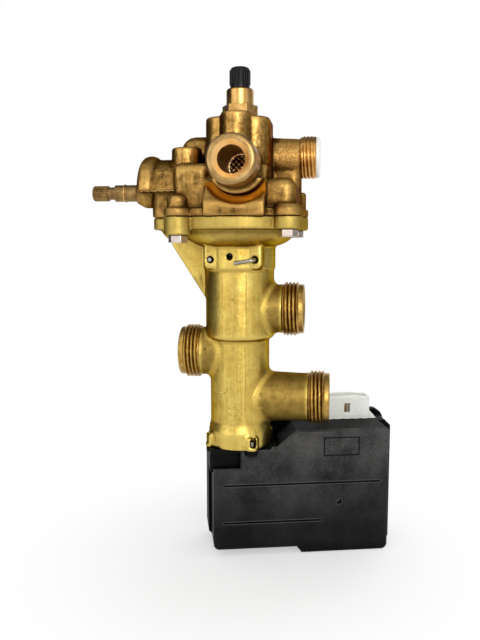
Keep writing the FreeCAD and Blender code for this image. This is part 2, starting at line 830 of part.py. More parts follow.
def seal_cartridge():
    outer = UPPER_CHAMBER_RADIUS - LOOSE_FIT
    body = ring_z(ROD_RADIUS + RUNNING_FIT, outer, CARTRIDGE_LOW, CARTRIDGE_HIGH)
    cuts = [ring_z(CLIP_HALF_WIDTH - CLIP_WIRE_RADIUS - FREE_GAP, 2 * outer,
                   CLIP_Z - CARTRIDGE_GROOVE / 2, CLIP_Z + CARTRIDGE_GROOVE / 2)]
    for height in ring_heights():
        cuts.append(ring_z(outer - 2 * RING_SECTION, 2 * outer,
                           height - RING_GROOVE_WIDTH / 2, height + RING_GROOVE_WIDTH / 2))
    return body.cut(cuts)


def cartridge_rings():
    centre = UPPER_CHAMBER_RADIUS - LOOSE_FIT / 2 - RING_SECTION
    return Part.makeCompound([Part.makeTorus(centre, RING_SECTION, Vector(0, 0, z)) for z in ring_heights()])


def upper_seat():
    return ring_z(SEAT_HOLE_RADIUS, UPPER_CHAMBER_RADIUS - LOOSE_FIT, SEAT_LOW, SEAT_HIGH)


def foot_bush():
    outer = FOOT_BORE_RADIUS - LOOSE_FIT
    body = ring_z(ROD_RADIUS + RUNNING_FIT, outer, FOOT_Z, FOOT_Z + BUSH_LENGTH)
    middle = FOOT_Z + BUSH_LENGTH / 2
    groove = ring_z(outer - 2 * RING_SECTION, 2 * outer,
                    middle - RING_GROOVE_WIDTH / 2, middle + RING_GROOVE_WIDTH / 2)
    return body.cut(groove)


def bush_ring():
    centre = FOOT_BORE_RADIUS - LOOSE_FIT / 2 - RING_SECTION
    return Part.makeTorus(centre, RING_SECTION, Vector(0, 0, FOOT_Z + BUSH_LENGTH / 2))


# Shuttle

def rod_bottom():
    return RACK_TOP_Z - RACK_SOCKET + FREE_GAP


def rod_top():
    return UPPER_PLATE_HIGH + ROD_ABOVE_PLATE


def diverter_rod():
    return round_z(ROD_RADIUS, rod_bottom(), rod_top())


def disc_around_rod(radius, low, high):
    return ring_z(ROD_RADIUS, radius, low, high)


def lower_disc():
    high = LOWER_SEAL_HIGH - SEAL_THICKNESS
    return disc_around_rod(DISC_RADIUS, high - DISC_THICKNESS, high)


def lower_disc_seal():
    return disc_around_rod(SEAL_RADIUS, LOWER_SEAL_HIGH - SEAL_THICKNESS, LOWER_SEAL_HIGH)


def upper_disc():
    low = UPPER_SEAL_LOW + SEAL_THICKNESS
    return disc_around_rod(DISC_RADIUS, low, low + DISC_THICKNESS)


def upper_disc_seal():
    return disc_around_rod(SEAL_RADIUS, UPPER_SEAL_LOW, UPPER_SEAL_LOW + SEAL_THICKNESS)


def return_spring():
    low = UPPER_DISC_HIGH + SPRING_WIRE_RADIUS
    high = CARTRIDGE_LOW - SPRING_WIRE_RADIUS
    pitch = (high - low) / SPRING_TURNS
    helix = Part.makeLongHelix(pitch, high - low, SPRING_RADIUS)
    helix.translate(Vector(0, 0, low))
    start = Vector(SPRING_RADIUS, 0, low)
    heading = Vector(0, 2 * math.pi * SPRING_RADIUS, pitch)
    section = Part.Wire([Part.Circle(start, heading, SPRING_WIRE_RADIUS).toShape()])
    return Part.Solid(Part.Wire(helix.Edges).makePipeShell([section], True, True))


def lower_plate():
    return disc_around_rod(PLATE_RADIUS, DIAPHRAGM_LOW - PLATE_THICKNESS, DIAPHRAGM_LOW)


def upper_plate():
    return disc_around_rod(PLATE_RADIUS, DIAPHRAGM_HIGH, UPPER_PLATE_HIGH)


def diaphragm():
    """Rubber hat that hangs from its clamped rim to the plates on the rod."""
    rim_high = SEAM_Z + DIAPHRAGM_THICKNESS
    inner = PLATE_RADIUS + DIAPHRAGM_THICKNESS
    outer = BOWL_RADIUS - DIAPHRAGM_THICKNESS
    return lathe([
        (ROD_RADIUS, DIAPHRAGM_LOW),
        (inner, DIAPHRAGM_LOW),
        (outer, SEAM_Z),
        (DIAPHRAGM_RADIUS, SEAM_Z),
        (DIAPHRAGM_RADIUS, rim_high),
        (outer, rim_high),
        (inner, DIAPHRAGM_HIGH),
        (ROD_RADIUS, DIAPHRAGM_HIGH),
    ])


def guide_spindle():
    """Nut on the rod's top end, with the pin that slides in the chamber's roof."""
    nut_high = UPPER_PLATE_HIGH + GUIDE_NUT_HEIGHT
    nut = hexagon_z(GUIDE_NUT_FLATS, UPPER_PLATE_HIGH, nut_high)
    pin = round_z(GUIDE_RADIUS, nut_high, ROOF_HIGH)
    hole = round_z(ROD_RADIUS, UPPER_PLATE_HIGH, rod_top())
    return nut.fuse(pin).cut(hole)


def rack_tooth_outline(middle):
    """One rack tooth as (x, z) corners, about its own middle height."""
    slope = math.tan(math.radians(PRESSURE_ANGLE))
    half = TOOTH_PITCH / 4 - BACKLASH / 2
    tip = RACK_PITCH_X + GEAR_MODULE
    root = RACK_PITCH_X - DEDENDUM * GEAR_MODULE
    tip_half = half - GEAR_MODULE * slope
    root_half = half + DEDENDUM * GEAR_MODULE * slope
    low_flank = [(root, middle - root_half), (tip, middle - tip_half)]
    high_flank = [(tip, middle + tip_half), (root, middle + root_half)]
    return low_flank + high_flank


def rack_plunger():
    root = RACK_PITCH_X - DEDENDUM * GEAR_MODULE
    first_tooth = PINION_Z + 1.5 * TOOTH_PITCH
    last_tooth = first_tooth - (RACK_TEETH - 1) * TOOTH_PITCH
    low = last_tooth - TOOTH_PITCH / 2 - RACK_END
    pieces = [block(-RACK_BACK, root, -RACK_DEPTH / 2, RACK_DEPTH / 2, low, RACK_TOP_Z)]
    for tooth in range(RACK_TEETH):
        points = rack_tooth_outline(first_tooth - tooth * TOOTH_PITCH)
        pieces.append(outline_y(points, -RACK_DEPTH / 2, RACK_DEPTH / 2))
    socket_radius = ROD_RADIUS + 2 * LOOSE_FIT
    head_radius = socket_radius + WALL
    pieces.append(round_z(head_radius, RACK_TOP_Z - RACK_SOCKET - WALL, RACK_TOP_Z))
    socket = round_z(ROD_RADIUS, RACK_TOP_Z - RACK_SOCKET + FREE_GAP, RACK_TOP_Z)
    return turned_z(joined(pieces).cut(socket), ACTUATOR_ANGLE)


# Water section

def apron():
    points = [
        (0, SEAM_Z),
        (-FLANGE_RADIUS, SEAM_Z),
        (-FLANGE_RADIUS, SEAM_Z + APRON_STEP),
        (APRON_TOP_Y, SEAM_Z + APRON_TOP),
        (0, SEAM_Z + APRON_TOP),
    ]
    wedge = outline_x(points, APRON_LEFT, APRON_RIGHT)
    clearance = round_y(INLET_CLEARANCE_RADIUS, -2 * INLET_REACH, INLET_CLEARANCE_Y, INLET_X, INLET_Z)
    return wedge.cut(clearance)


def inlet_stub():
    """Pipe of the front inlet with its wider nose, and a collar round the lower part only."""
    shoulder = INLET_REACH - INLET_NOSE_LENGTH
    place = Vector(INLET_X, 0, INLET_Z)
    nose = along_minus_y(lathe([
        (0, 0),
        (INLET_PIPE_RADIUS, 0),
        (INLET_PIPE_RADIUS, shoulder),
        (INLET_NOSE_RADIUS, shoulder),
        (INLET_NOSE_RADIUS, INLET_REACH - INLET_NOSE_CHAMFER),
        (INLET_NOSE_RADIUS - INLET_NOSE_CHAMFER, INLET_REACH),
        (0, INLET_REACH),
    ]), place)
    collar = along_minus_y(lathe([
        (0, 0),
        (INLET_COLLAR_RADIUS, 0),
        (INLET_COLLAR_RADIUS, shoulder - INLET_NOSE_CHAMFER),
        (INLET_COLLAR_RADIUS - INLET_NOSE_CHAMFER, shoulder),
        (0, shoulder),
    ]), place)
    cut_z = INLET_Z - INLET_COLLAR_CUT
    above = block(INLET_X - INLET_COLLAR_RADIUS, INLET_X + INLET_COLLAR_RADIUS, -INLET_REACH, 0,
                  cut_z, INLET_Z + INLET_COLLAR_RADIUS)
    return nose.fuse(collar.cut(above))


def inlet_bore():
    return lathe([
        (0, 0),
        (INLET_BORE_RADIUS, 0),
        (INLET_BORE_RADIUS, INLET_REACH - INLET_MOUTH_DEPTH),
        (INLET_MOUTH_RADIUS, INLET_REACH),
        (0, INLET_REACH),
    ])


def column():
    body = rounded_block(-COLUMN_HALF_WIDTH, COLUMN_HALF_WIDTH, -COLUMN_FRONT, COLUMN_BACK,
                         ROOF_LOW, COLUMN_TOP, COLUMN_CORNER)
    return body.makeFillet(COLUMN_TOP_ROUNDING, edges_where(body, lambda edge: lies_at_z(edge, COLUMN_TOP)))


def front_boss():
    """Half-round passage down the column's front, cut back round the gland."""
    top = COLUMN_TOP + FRONT_BOSS_RISE
    boss = domed(FRONT_BOSS_RADIUS, INLET_Z, top, 0, FRONT_BOSS_Y, COLUMN_TOP_ROUNDING / 2)
    gland_corner = hexagon_corner(GLAND_FLATS) + FREE_GAP
    return boss.cut(round_z(gland_corner, COLUMN_TOP, top))


def outlet_stub():
    """Neck with a round closed end behind the column, and the threaded stub on its right."""
    thread_start = OUTLET_REACH - OUTLET_THREAD_LENGTH
    end = Part.makeSphere(OUTLET_NECK_RADIUS, Vector(0, OUTLET_Y, OUTLET_Z))
    neck = round_x(OUTLET_NECK_RADIUS, 0, thread_start, OUTLET_Y, OUTLET_Z)
    thread = round_x(STUB_THREAD_RADIUS, thread_start, OUTLET_REACH, OUTLET_Y, OUTLET_Z)
    return joined([end, neck, thread])


def outlet_web():
    """Wall that carries the outlet's neck up from the flange, and ends short of the thread."""
    right = OUTLET_REACH - OUTLET_THREAD_LENGTH - FREE_GAP
    return rounded_block(0, right, WEB_FRONT, WEB_BACK, SEAM_Z, OUTLET_Z, WEB_ROUNDING)


def hump():
    """Round-ended passage from the left boss to the column."""
    height = SEAM_Z + HUMP_HEIGHT
    tube = round_x(HUMP_RADIUS, HUMP_LEFT, 0, HUMP_Y, height)
    return tube.fuse(Part.makeSphere(HUMP_RADIUS, Vector(HUMP_LEFT, HUMP_Y, height)))


def right_block():
    """Round-edged passage that lies across the front right of the cap."""
    return pillow(0, RIGHT_BLOCK_RIGHT, RIGHT_BLOCK_FRONT, 0, SEAM_Z + RIGHT_BLOCK_LOW,
                  SEAM_Z + RIGHT_BLOCK_HIGH, RIGHT_BLOCK_ROUNDING)


def left_block():
    """Round-edged mass between the left boss and the column."""
    return pillow(LEFT_BLOCK_LEFT, LEFT_BLOCK_RIGHT, LEFT_BLOCK_FRONT, 0, SEAM_Z + LEFT_BLOCK_LOW,
                  SEAM_Z + LEFT_BLOCK_HIGH, LEFT_BLOCK_ROUNDING)


def tap_body():
    """Half-round hood with a beaded rim over the tap's round neck, which ends in a cone."""
    hood = round_x(TAP_HOOD_RADIUS, TAP_FACE_X + TAP_BEAD_WIDTH / 2, TAP_RIGHT_X, TAP_Y, TAP_Z)
    right_rim = edges_where(hood, lambda edge: edge.BoundBox.XMin > TAP_RIGHT_X - SAME)
    hood = hood.makeFillet(TAP_HOOD_ROUNDING, right_rim)
    bead = round_x(TAP_BEAD_RADIUS, TAP_FACE_X, TAP_FACE_X + TAP_BEAD_WIDTH, TAP_Y, TAP_Z)
    bead = bead.makeFillet(TAP_BEAD_ROUNDING, edges_where(bead, is_circle))
    reach = 2 * TAP_BEAD_RADIUS
    below = block(TAP_FACE_X, TAP_RIGHT_X, TAP_Y - reach, TAP_Y + reach, TAP_Z - reach, TAP_Z)
    upper = hood.fuse(bead).cut(below)
    neck = along_x(lathe([
        (0, TAP_NOSE_X),
        (TAP_SHAFT_RADIUS + TAP_NOSE_WALL, TAP_NOSE_X),
        (TAP_NECK_RADIUS, TAP_CONE_X),
        (TAP_NECK_RADIUS, TAP_RIGHT_X),
        (0, TAP_RIGHT_X),
    ]), Vector(0, TAP_Y, TAP_Z))
    wall = rounded_block(-TONGUE_REACH, TAP_RIGHT_X, TAP_Y - TAP_WALL_FRONT, TAP_Y + TAP_WALL_BACK,
                         SEAM_Z, TAP_Z, TONGUE_ROUNDING)
    return joined([upper, neck, wall])


def cap():
    body = round_z(CAP_RADIUS, SEAM_Z, SEAM_Z + CAP_HEIGHT)
    top = edges_where(body, lambda edge: lies_at_z(edge, SEAM_Z + CAP_HEIGHT))
    return body.makeFillet(CAP_ROUNDING, top)


def bolt_pillars():
    """Bosses over the four bolts: tall at the back, a slim one front left and a low one front right."""
    pillars = []
    for x, y in bolt_places():
        radius = PILLAR_RADIUS
        height = PILLAR_HEIGHT
        rounding = PILLAR_RADIUS / 4
        if y < 0 and x < 0:
            radius = FRONT_PILLAR_RADIUS
            height = FRONT_PILLAR_HEIGHT
            rounding = FRONT_PILLAR_RADIUS / 2
        elif y < 0:
            height = SHORT_BOSS_HEIGHT
        pillars.append(domed(radius, SEAM_Z, SEAM_Z + height, x, y, rounding))
    return pillars


def tap_bores():
    seat_x = TAP_CHAMBER_LEFT + TAP_CHAMBER_LENGTH
    bore = round_x(TAP_SHAFT_RADIUS + RUNNING_FIT, 2 * TAP_FACE_X, TAP_CHAMBER_LEFT, TAP_Y, TAP_Z)
    chamber = round_x(TAP_CHAMBER_RADIUS, TAP_CHAMBER_LEFT, seat_x, TAP_Y, TAP_Z)
    seat = round_x(TAP_SEAT_RADIUS, seat_x, -COLUMN_BORE_RADIUS, TAP_Y, TAP_Z)
    return [bore, chamber, seat]


def water_section():
    pieces = [flange_plate(SEAM_Z, SEAM_Z + UPPER_FLANGE_HEIGHT), cap(), column(), front_boss(), apron()]
    pieces += [inlet_stub(), outlet_stub(), outlet_web(), hump(), right_block(), left_block(), tap_body()]
    pieces.append(domed(LEFT_BOSS_RADIUS, SEAM_Z, SEAM_Z + LEFT_BOSS_HEIGHT, LEFT_BOSS_X, LEFT_BOSS_Y,
                        COLUMN_TOP_ROUNDING))
    pieces += bolt_pillars()
    body = joined(pieces)
    holes = [round_z(BOWL_RADIUS, SEAM_Z, ROOF_LOW)]
    holes.append(round_z(DIAPHRAGM_RADIUS + LOOSE_FIT, SEAM_Z, SEAM_Z + DIAPHRAGM_THICKNESS))
    holes.append(round_z(GUIDE_RADIUS + RUNNING_FIT, SEAM_Z, COLUMN_TOP))
    holes.append(round_z(COLUMN_BORE_RADIUS, ROOF_HIGH, COLUMN_TOP))
    holes.append(along_minus_y(inlet_bore(), Vector(INLET_X, 0, INLET_Z)))
    holes.append(round_x(OUTLET_BORE_RADIUS, 0, OUTLET_REACH, OUTLET_Y, OUTLET_Z))
    holes += tap_bores()
    for x, y in bolt_places():
        holes.append(round_z(BOLT_RADIUS + LOOSE_FIT, SEAM_Z, lobe_low(x, y) + BOLT_LENGTH + FREE_GAP, x, y))
    return body.cut(holes)


# Pieces on the water section

def inlet_strainer():
    """Cup with a perforated end, open towards the column."""
    outer = INLET_BORE_RADIUS - LOOSE_FIT
    front = -INLET_REACH + STRAINER_DEPTH
    back = front + STRAINER_LENGTH
    cup = round_y(outer, front, back, INLET_X, INLET_Z)
    cup = cup.cut(round_y(outer - STRAINER_WALL, front + STRAINER_WALL, back, INLET_X, INLET_Z))
    holes = []
    reach = outer - STRAINER_WALL - STRAINER_HOLE_HALF
    steps = int(reach / STRAINER_HOLE_SPACING)
    for row in range(-steps, steps + 1):
        for place in range(-steps, steps + 1):
            x = row * STRAINER_HOLE_SPACING
            z = place * STRAINER_HOLE_SPACING
            if math.hypot(x, z) <= reach:
                hole = block(-STRAINER_HOLE_HALF, STRAINER_HOLE_HALF, front, front + STRAINER_WALL,
                             -STRAINER_HOLE_HALF, STRAINER_HOLE_HALF)
                hole.translate(Vector(INLET_X + x, 0, INLET_Z + z))
                holes.append(hole)
    return cup.cut(holes)


def outlet_plug():
    stem = round_x(OUTLET_BORE_RADIUS - LOOSE_FIT, OUTLET_REACH - PLUG_STEM, OUTLET_REACH, OUTLET_Y, OUTLET_Z)
    flange = round_x(PLUG_FLANGE_RADIUS, OUTLET_REACH, OUTLET_REACH + PLUG_FLANGE, OUTLET_Y, OUTLET_Z)
    rim = edges_where(flange, lambda edge: edge.BoundBox.XMin > OUTLET_REACH + PLUG_FLANGE - SAME)
    return stem.fuse(flange.makeFillet(PLUG_FLANGE / 2, rim))


def gland_nut():
    hexagon = hexagon_z(GLAND_FLATS, COLUMN_TOP, COLUMN_TOP + GLAND_HEX_HEIGHT)
    sleeve = lathe([
        (0, GLAND_LOW),
        (COLUMN_BORE_RADIUS - LOOSE_FIT, GLAND_LOW),
        (COLUMN_BORE_RADIUS - LOOSE_FIT, COLUMN_TOP),
        (GLAND_SLEEVE_RADIUS, COLUMN_TOP),
        (GLAND_SLEEVE_RADIUS, GLAND_TOP - GLAND_CHAMFER),
        (GLAND_SLEEVE_RADIUS - GLAND_CHAMFER, GLAND_TOP),
        (0, GLAND_TOP),
    ])
    hole = round_z(ADJUSTER_RADIUS + RUNNING_FIT, GLAND_LOW, GLAND_TOP)
    return hexagon.fuse(sleeve).cut(hole)


def knob_low():
    return GLAND_TOP + FREE_GAP


def adjuster_spindle():
    foot = round_z(ROD_RADIUS, COLLAR_LOW - ADJUSTER_BELOW_COLLAR, COLLAR_LOW)
    collar = round_z(ADJUSTER_COLLAR_RADIUS, COLLAR_LOW, COLLAR_LOW + ADJUSTER_COLLAR)
    shaft = round_z(ADJUSTER_RADIUS, COLLAR_LOW + ADJUSTER_COLLAR, knob_low() + KNOB_SOCKET)
    return joined([foot, collar, shaft])


def adjuster_knob():
    low = knob_low()
    body = domed(KNOB_RADIUS, low, low + KNOB_HEIGHT, 0, 0, KNOB_TOP_ROUNDING)
    ribs = []
    for rib in range(KNOB_RIB_COUNT):
        angle = 2 * math.pi * rib / KNOB_RIB_COUNT
        place = (KNOB_RADIUS * math.cos(angle), KNOB_RADIUS * math.sin(angle))
        ribs.append(round_z(KNOB_RIB, low + KNOB_BAND, low + KNOB_HEIGHT - KNOB_TOP_ROUNDING, *place))
    socket = round_z(ADJUSTER_RADIUS, low, low + KNOB_SOCKET)
    return body.multiFuse(ribs).cut(socket)


def throttle_plug():
    low = THROTTLE_HIGH - THROTTLE_LENGTH
    hub = round_z(THROTTLE_HUB_RADIUS, low, THROTTLE_HIGH)
    disc = round_z(THROTTLE_RADIUS, low, low + THROTTLE_DISC)
    hole_low = COLLAR_LOW - ADJUSTER_BELOW_COLLAR - THROTTLE_TRAVEL - FREE_GAP
    return hub.fuse(disc).cut(round_z(ROD_RADIUS + RUNNING_FIT, hole_low, THROTTLE_HIGH))


def tap_spindle():
    spline_right = TAP_TIP_X + TAP_SPLINE_LENGTH
    shaft_right = TAP_CHAMBER_LEFT - FREE_GAP
    groove_right = CIRCLIP_X + CIRCLIP_THICKNESS
    pieces = [round_x(TAP_SPLINE_RADIUS, TAP_TIP_X, spline_right, TAP_Y, TAP_Z)]
    for rib in range(TAP_SPLINE_COUNT):
        angle = 2 * math.pi * rib / TAP_SPLINE_COUNT
        y = TAP_Y + TAP_SPLINE_RADIUS * math.cos(angle)
        z = TAP_Z + TAP_SPLINE_RADIUS * math.sin(angle)
        pieces.append(round_x(TAP_SPLINE_RIB, TAP_TIP_X + TAP_SPLINE_RIB, spline_right, y, z))
    pieces.append(round_x(TAP_WAIST_RADIUS, spline_right, TAP_SHAFT_LEFT, TAP_Y, TAP_Z))
    pieces.append(round_x(TAP_SHAFT_RADIUS, TAP_SHAFT_LEFT, CIRCLIP_X, TAP_Y, TAP_Z))
    pieces.append(round_x(CIRCLIP_GROOVE_RADIUS, CIRCLIP_X, groove_right, TAP_Y, TAP_Z))
    pieces.append(round_x(TAP_SHAFT_RADIUS, groove_right, shaft_right, TAP_Y, TAP_Z))
    pieces.append(round_x(TAP_FOOT_RADIUS, shaft_right, shaft_right + TAP_FOOT_LENGTH, TAP_Y, TAP_Z))
    return joined(pieces)


def tap_circlip():
    ring = round_x(CIRCLIP_RADIUS, CIRCLIP_X, CIRCLIP_X + CIRCLIP_THICKNESS, TAP_Y, TAP_Z)
    hole = round_x(CIRCLIP_GROOVE_RADIUS, CIRCLIP_X, CIRCLIP_X + CIRCLIP_THICKNESS, TAP_Y, TAP_Z)
    return ring.cut(hole)


def tap_jumper():
    """Closing disc on the spindle's foot, a travel short of its seat."""
    seat_x = TAP_CHAMBER_LEFT + TAP_CHAMBER_LENGTH
    face_x = seat_x - TAP_TRAVEL - FREE_GAP
    disc = round_x(JUMPER_RADIUS, face_x - JUMPER_DISC, face_x, TAP_Y, TAP_Z)
    foot_end = TAP_CHAMBER_LEFT - FREE_GAP + TAP_FOOT_LENGTH
    stem = round_x(TAP_FOOT_RADIUS + WALL, TAP_CHAMBER_LEFT + FREE_GAP, face_x - JUMPER_DISC, TAP_Y, TAP_Z)
    hole = round_x(TAP_FOOT_RADIUS + RUNNING_FIT, TAP_CHAMBER_LEFT, foot_end + FREE_GAP, TAP_Y, TAP_Z)
    return disc.fuse(stem).cut(hole)


# Actuator, drawn square to its own X and Y and then turned

def cover_outline():
    return [
        (COVER_LEFT, COVER_BOTTOM_LEFT),
        (COVER_JOG_X, COVER_BOTTOM_LEFT),
        (COVER_JOG_X + COVER_JOG_RUN, COVER_BOTTOM_RIGHT),
        (COVER_RIGHT, COVER_BOTTOM_RIGHT),
        (COVER_RIGHT, COVER_TOP - COVER_TOP_CHAMFER),
        (COVER_RIGHT - COVER_TOP_CHAMFER, COVER_TOP),
        (COVER_SLANT_HIGH_X, COVER_TOP),
        (COVER_SLANT_LOW_X, COVER_SHELF),
        (COVER_NOTCH_X, COVER_SHELF),
        (COVER_NOTCH_X, COVER_NOTCH),
        (COVER_LEFT, COVER_NOTCH),
    ]


def housing_outline(right):
    return [
        (HOUSING_LEFT, HOUSING_BOTTOM_LEFT),
        (HOUSING_LEFT + HOUSING_LEFT_CHAMFER, COVER_BOTTOM_LEFT),
        (COVER_JOG_X, COVER_BOTTOM_LEFT),
        (COVER_JOG_X + COVER_JOG_RUN, COVER_BOTTOM_RIGHT),
        (right, COVER_BOTTOM_RIGHT),
        (right, COVER_TOP - HOUSING_TOP_CHAMFER),
        (right - HOUSING_TOP_CHAMFER, COVER_TOP),
        (COVER_SLANT_HIGH_X, COVER_TOP),
        (FOOT_POCKET_RADIUS, FOOT_Z),
        (HOUSING_LEFT, FOOT_Z),
    ]


def inset(points, front, back):
    """Inside of a shell with these outer corners, a wall smaller all round."""
    corners = [Vector(x, front, z) for x, z in points]
    face = Part.Face(Part.makePolygon(corners + corners[:1]))
    return face.makeOffset2D(-WALL).extrude(Vector(0, back - front, 0))


def post_places():
    low = COVER_BOTTOM_LEFT + POST_INSET
    return [
        (COVER_LEFT + POST_INSET, low),
        (COVER_RIGHT - POST_INSET, low),
        (COVER_RIGHT - POST_INSET, COVER_TOP - POST_INSET),
        (COVER_SLANT_HIGH_X + POST_INSET / 2, COVER_TOP - POST_INSET),
    ]


def groove(left, right, height):
    return block(left, right, COVER_FRONT, COVER_FRONT + GROOVE_DEPTH,
                 height - GROOVE_WIDTH / 2, height + GROOVE_WIDTH / 2)


def foot_pocket():
    return round_z(FOOT_POCKET_RADIUS, FOOT_Z - FREE_GAP, COVER_TOP)


def is_lower_corner(edge):
    """Edges at the cover's two bottom corners."""
    box = edge.BoundBox
    at_side = box.XMin < COVER_LEFT + SAME or box.XMin > COVER_RIGHT - SAME
    return is_along_y(edge) and at_side and box.ZMax < COVER_BOTTOM_LEFT + SAME


def actuator_cover():
    shell = outline_y(cover_outline(), COVER_FRONT, COVER_BACK)
    shell = shell.makeFillet(COVER_CORNER, edges_where(shell, is_lower_corner))
    front = edges_where(shell, lambda edge: lies_at_y(edge, COVER_FRONT))
    shell = shell.makeChamfer(COVER_EDGE, front)
    shell = shell.cut(inset(cover_outline(), COVER_FRONT + WALL, COVER_BACK))
    posts = [round_y(POST_RADIUS, COVER_FRONT + WALL / 2, COVER_BACK, x, z) for x, z in post_places()]
    shell = shell.multiFuse(posts)
    holes = [groove(GROOVE_LEFT, LONG_GROOVE_RIGHT, LONG_GROOVE_Z)]
    holes.append(groove(GROOVE_LEFT, SHORT_GROOVE_RIGHT, SHORT_GROOVE_Z))
    holes.append(round_y(COVER_HOLE_RADIUS, COVER_FRONT, COVER_FRONT + WALL, COVER_HOLE_X, COVER_HOLE_Z))
    for x, z in post_places():
        holes.append(round_y(SCREW_RADIUS + LOOSE_FIT, COVER_BACK - SCREW_BITE - FREE_GAP, COVER_BACK, x, z))
    holes.append(foot_pocket())
    holes += stud_lugs(STUD_LUG_RADIUS + FREE_GAP, DECK_LOW - FREE_GAP)
    holes.append(block(HOUSING_LEFT, DECK_RIGHT + FREE_GAP, DECK_FRONT - FREE_GAP, COVER_BACK,
                       COVER_NOTCH - WALL, COVER_TOP))
    return turned_z(shell.cut(holes), ACTUATOR_ANGLE)


def terminal_places():
    middle = (TERMINAL_COUNT - 1) / 2
    return [CONNECTOR_X + (terminal - middle) * TERMINAL_SPACING for terminal in range(TERMINAL_COUNT)]


def terminal_y():
    return CONNECTOR_FRONT + CONNECTOR_DEPTH / 2


def terminal_bar(x, low, high, spare):
    y = terminal_y()
    return block(x - TERMINAL_WIDTH / 2 - spare, x + TERMINAL_WIDTH / 2 + spare,
                 y - TERMINAL_THICKNESS / 2 - spare, y + TERMINAL_THICKNESS / 2 + spare, low, high)


def foot_deck():
    """Plate under the valve's foot, with the wall that closes the cover's corner notch."""
    deck = block(HOUSING_LEFT, DECK_RIGHT, DECK_FRONT, COVER_BACK + WALL, DECK_LOW, FOOT_Z)
    wall_front = COVER_FRONT + RECESS_DEPTH
    wall_low = COVER_NOTCH - WALL
    wall = block(HOUSING_LEFT, COVER_NOTCH_X + FREE_GAP, wall_front, wall_front + WALL, wall_low, FOOT_Z)
    side = block(HOUSING_LEFT, HOUSING_LEFT + WALL, wall_front, COVER_BACK + WALL, wall_low, FOOT_Z)
    return [deck, wall, side] + stud_lugs(STUD_LUG_RADIUS, DECK_LOW)


def stud_lugs(radius, low):
    """Round-ended bars that carry the studs out from the deck under each ear."""
    lugs = []
    for degrees in ear_angles():
        end = round_z(radius, low, FOOT_Z, EAR_CIRCLE, 0)
        bar = block(EAR_CIRCLE - STUD_LUG_LENGTH, EAR_CIRCLE, -radius, radius, low, FOOT_Z)
        lugs.append(turned_z(end.fuse(bar), degrees - ACTUATOR_ANGLE))
    return lugs


def stud_holes():
    holes = [round_z(STUD_RADIUS, DECK_LOW, FOOT_Z, x, y) for x, y in ear_places(EAR_CIRCLE)]
    return [turned_z(hole, -ACTUATOR_ANGLE) for hole in holes]


def actuator_housing():
    shell = outline_y(housing_outline(HOUSING_RIGHT), COVER_BACK, HOUSING_BACK)
    mouth = inset(housing_outline(COVER_RIGHT), COVER_BACK, HOUSING_INNER_BACK)
    cavity = inset(housing_outline(HOUSING_RIGHT), COVER_BACK + WALL, HOUSING_INNER_BACK)
    shell = shell.cut([mouth, cavity])
    hood = block(HOOD_LEFT, HOUSING_RIGHT, HOOD_FRONT, HOUSING_BACK, COVER_SHELF - WALL / 2, HOOD_TOP)
    corner = edges_where(hood, lambda edge: is_along_y(edge) and edge.BoundBox.ZMin > HOOD_TOP - SAME)
    hood = hood.makeFillet(HOOD_CORNER, corner)
    posts = [round_y(POST_RADIUS, COVER_BACK, HOUSING_INNER_BACK + WALL / 2, x, z) for x, z in post_places()]
    shell = shell.multiFuse([hood] + posts + foot_deck())
    holes = []
    for x, z in post_places():
        seat = HOUSING_BACK - SCREW_HEAD_HEIGHT
        holes.append(round_y(SCREW_RADIUS + FREE_GAP, COVER_BACK, seat, x, z))
        holes.append(round_y(SCREW_HEAD_RADIUS + FREE_GAP, seat, HOUSING_BACK, x, z))
    holes += stud_holes()
    holes.append(round_z(ROD_RADIUS + DECK_HOLE_SPARE, DECK_LOW, FOOT_Z))
    for x in terminal_places():
        holes.append(terminal_bar(x, COVER_TOP - WALL, COVER_TOP, LOOSE_FIT))
    return turned_z(shell.cut(holes), ACTUATOR_ANGLE)


def actuator_screws():
    screws = []
    for x, z in post_places():
        seat = HOUSING_BACK - SCREW_HEAD_HEIGHT
        shank = round_y(SCREW_RADIUS, COVER_BACK - SCREW_BITE, seat, x, z)
        head = round_y(SCREW_HEAD_RADIUS, seat, HOUSING_BACK, x, z)
        screws.append(turned_z(shank.fuse(head), ACTUATOR_ANGLE))
    return Part.makeCompound(screws)


def foot_studs():
    """Steel pins set in the actuator's deck that stand up through the ears."""
    studs = []
    for x, y in ear_places(EAR_CIRCLE):
        studs.append(round_z(STUD_RADIUS, DECK_LOW, FOOT_Z + EAR_BASE + STUD_TIP, x, y))
    return Part.makeCompound(studs)


def involute_point(base_radius, roll, offset):
    angle = offset + roll - math.atan(roll)
    radius = base_radius * math.sqrt(1 + roll * roll)
    return radius * math.cos(angle), radius * math.sin(angle)


def pinion_outline():
    """Involute teeth as points round the gear's own axis, with one tooth pointing along +X."""
    pressure = math.radians(PRESSURE_ANGLE)
    base = GEAR_PITCH_RADIUS * math.cos(pressure)
    tip = GEAR_PITCH_RADIUS + GEAR_MODULE
    root = GEAR_PITCH_RADIUS - DEDENDUM * GEAR_MODULE
    tip_roll = math.sqrt((tip / base) ** 2 - 1)
    half_tooth = (TOOTH_PITCH / 2 - BACKLASH) / 2 / GEAR_PITCH_RADIUS + math.tan(pressure) - pressure
    points = []
    for tooth in range(PINION_TEETH):
        turn = 2 * math.pi * tooth / PINION_TEETH
        flank = [(root * math.cos(half_tooth), -root * math.sin(half_tooth))]
        for step in range(FLANK_STEPS + 1):
            flank.append(involute_point(base, tip_roll * step / FLANK_STEPS, -half_tooth))
        for x, y in flank + [(x, -y) for x, y in reversed(flank)]:
            points.append((x * math.cos(turn) - y * math.sin(turn), x * math.sin(turn) + y * math.cos(turn)))
    return points


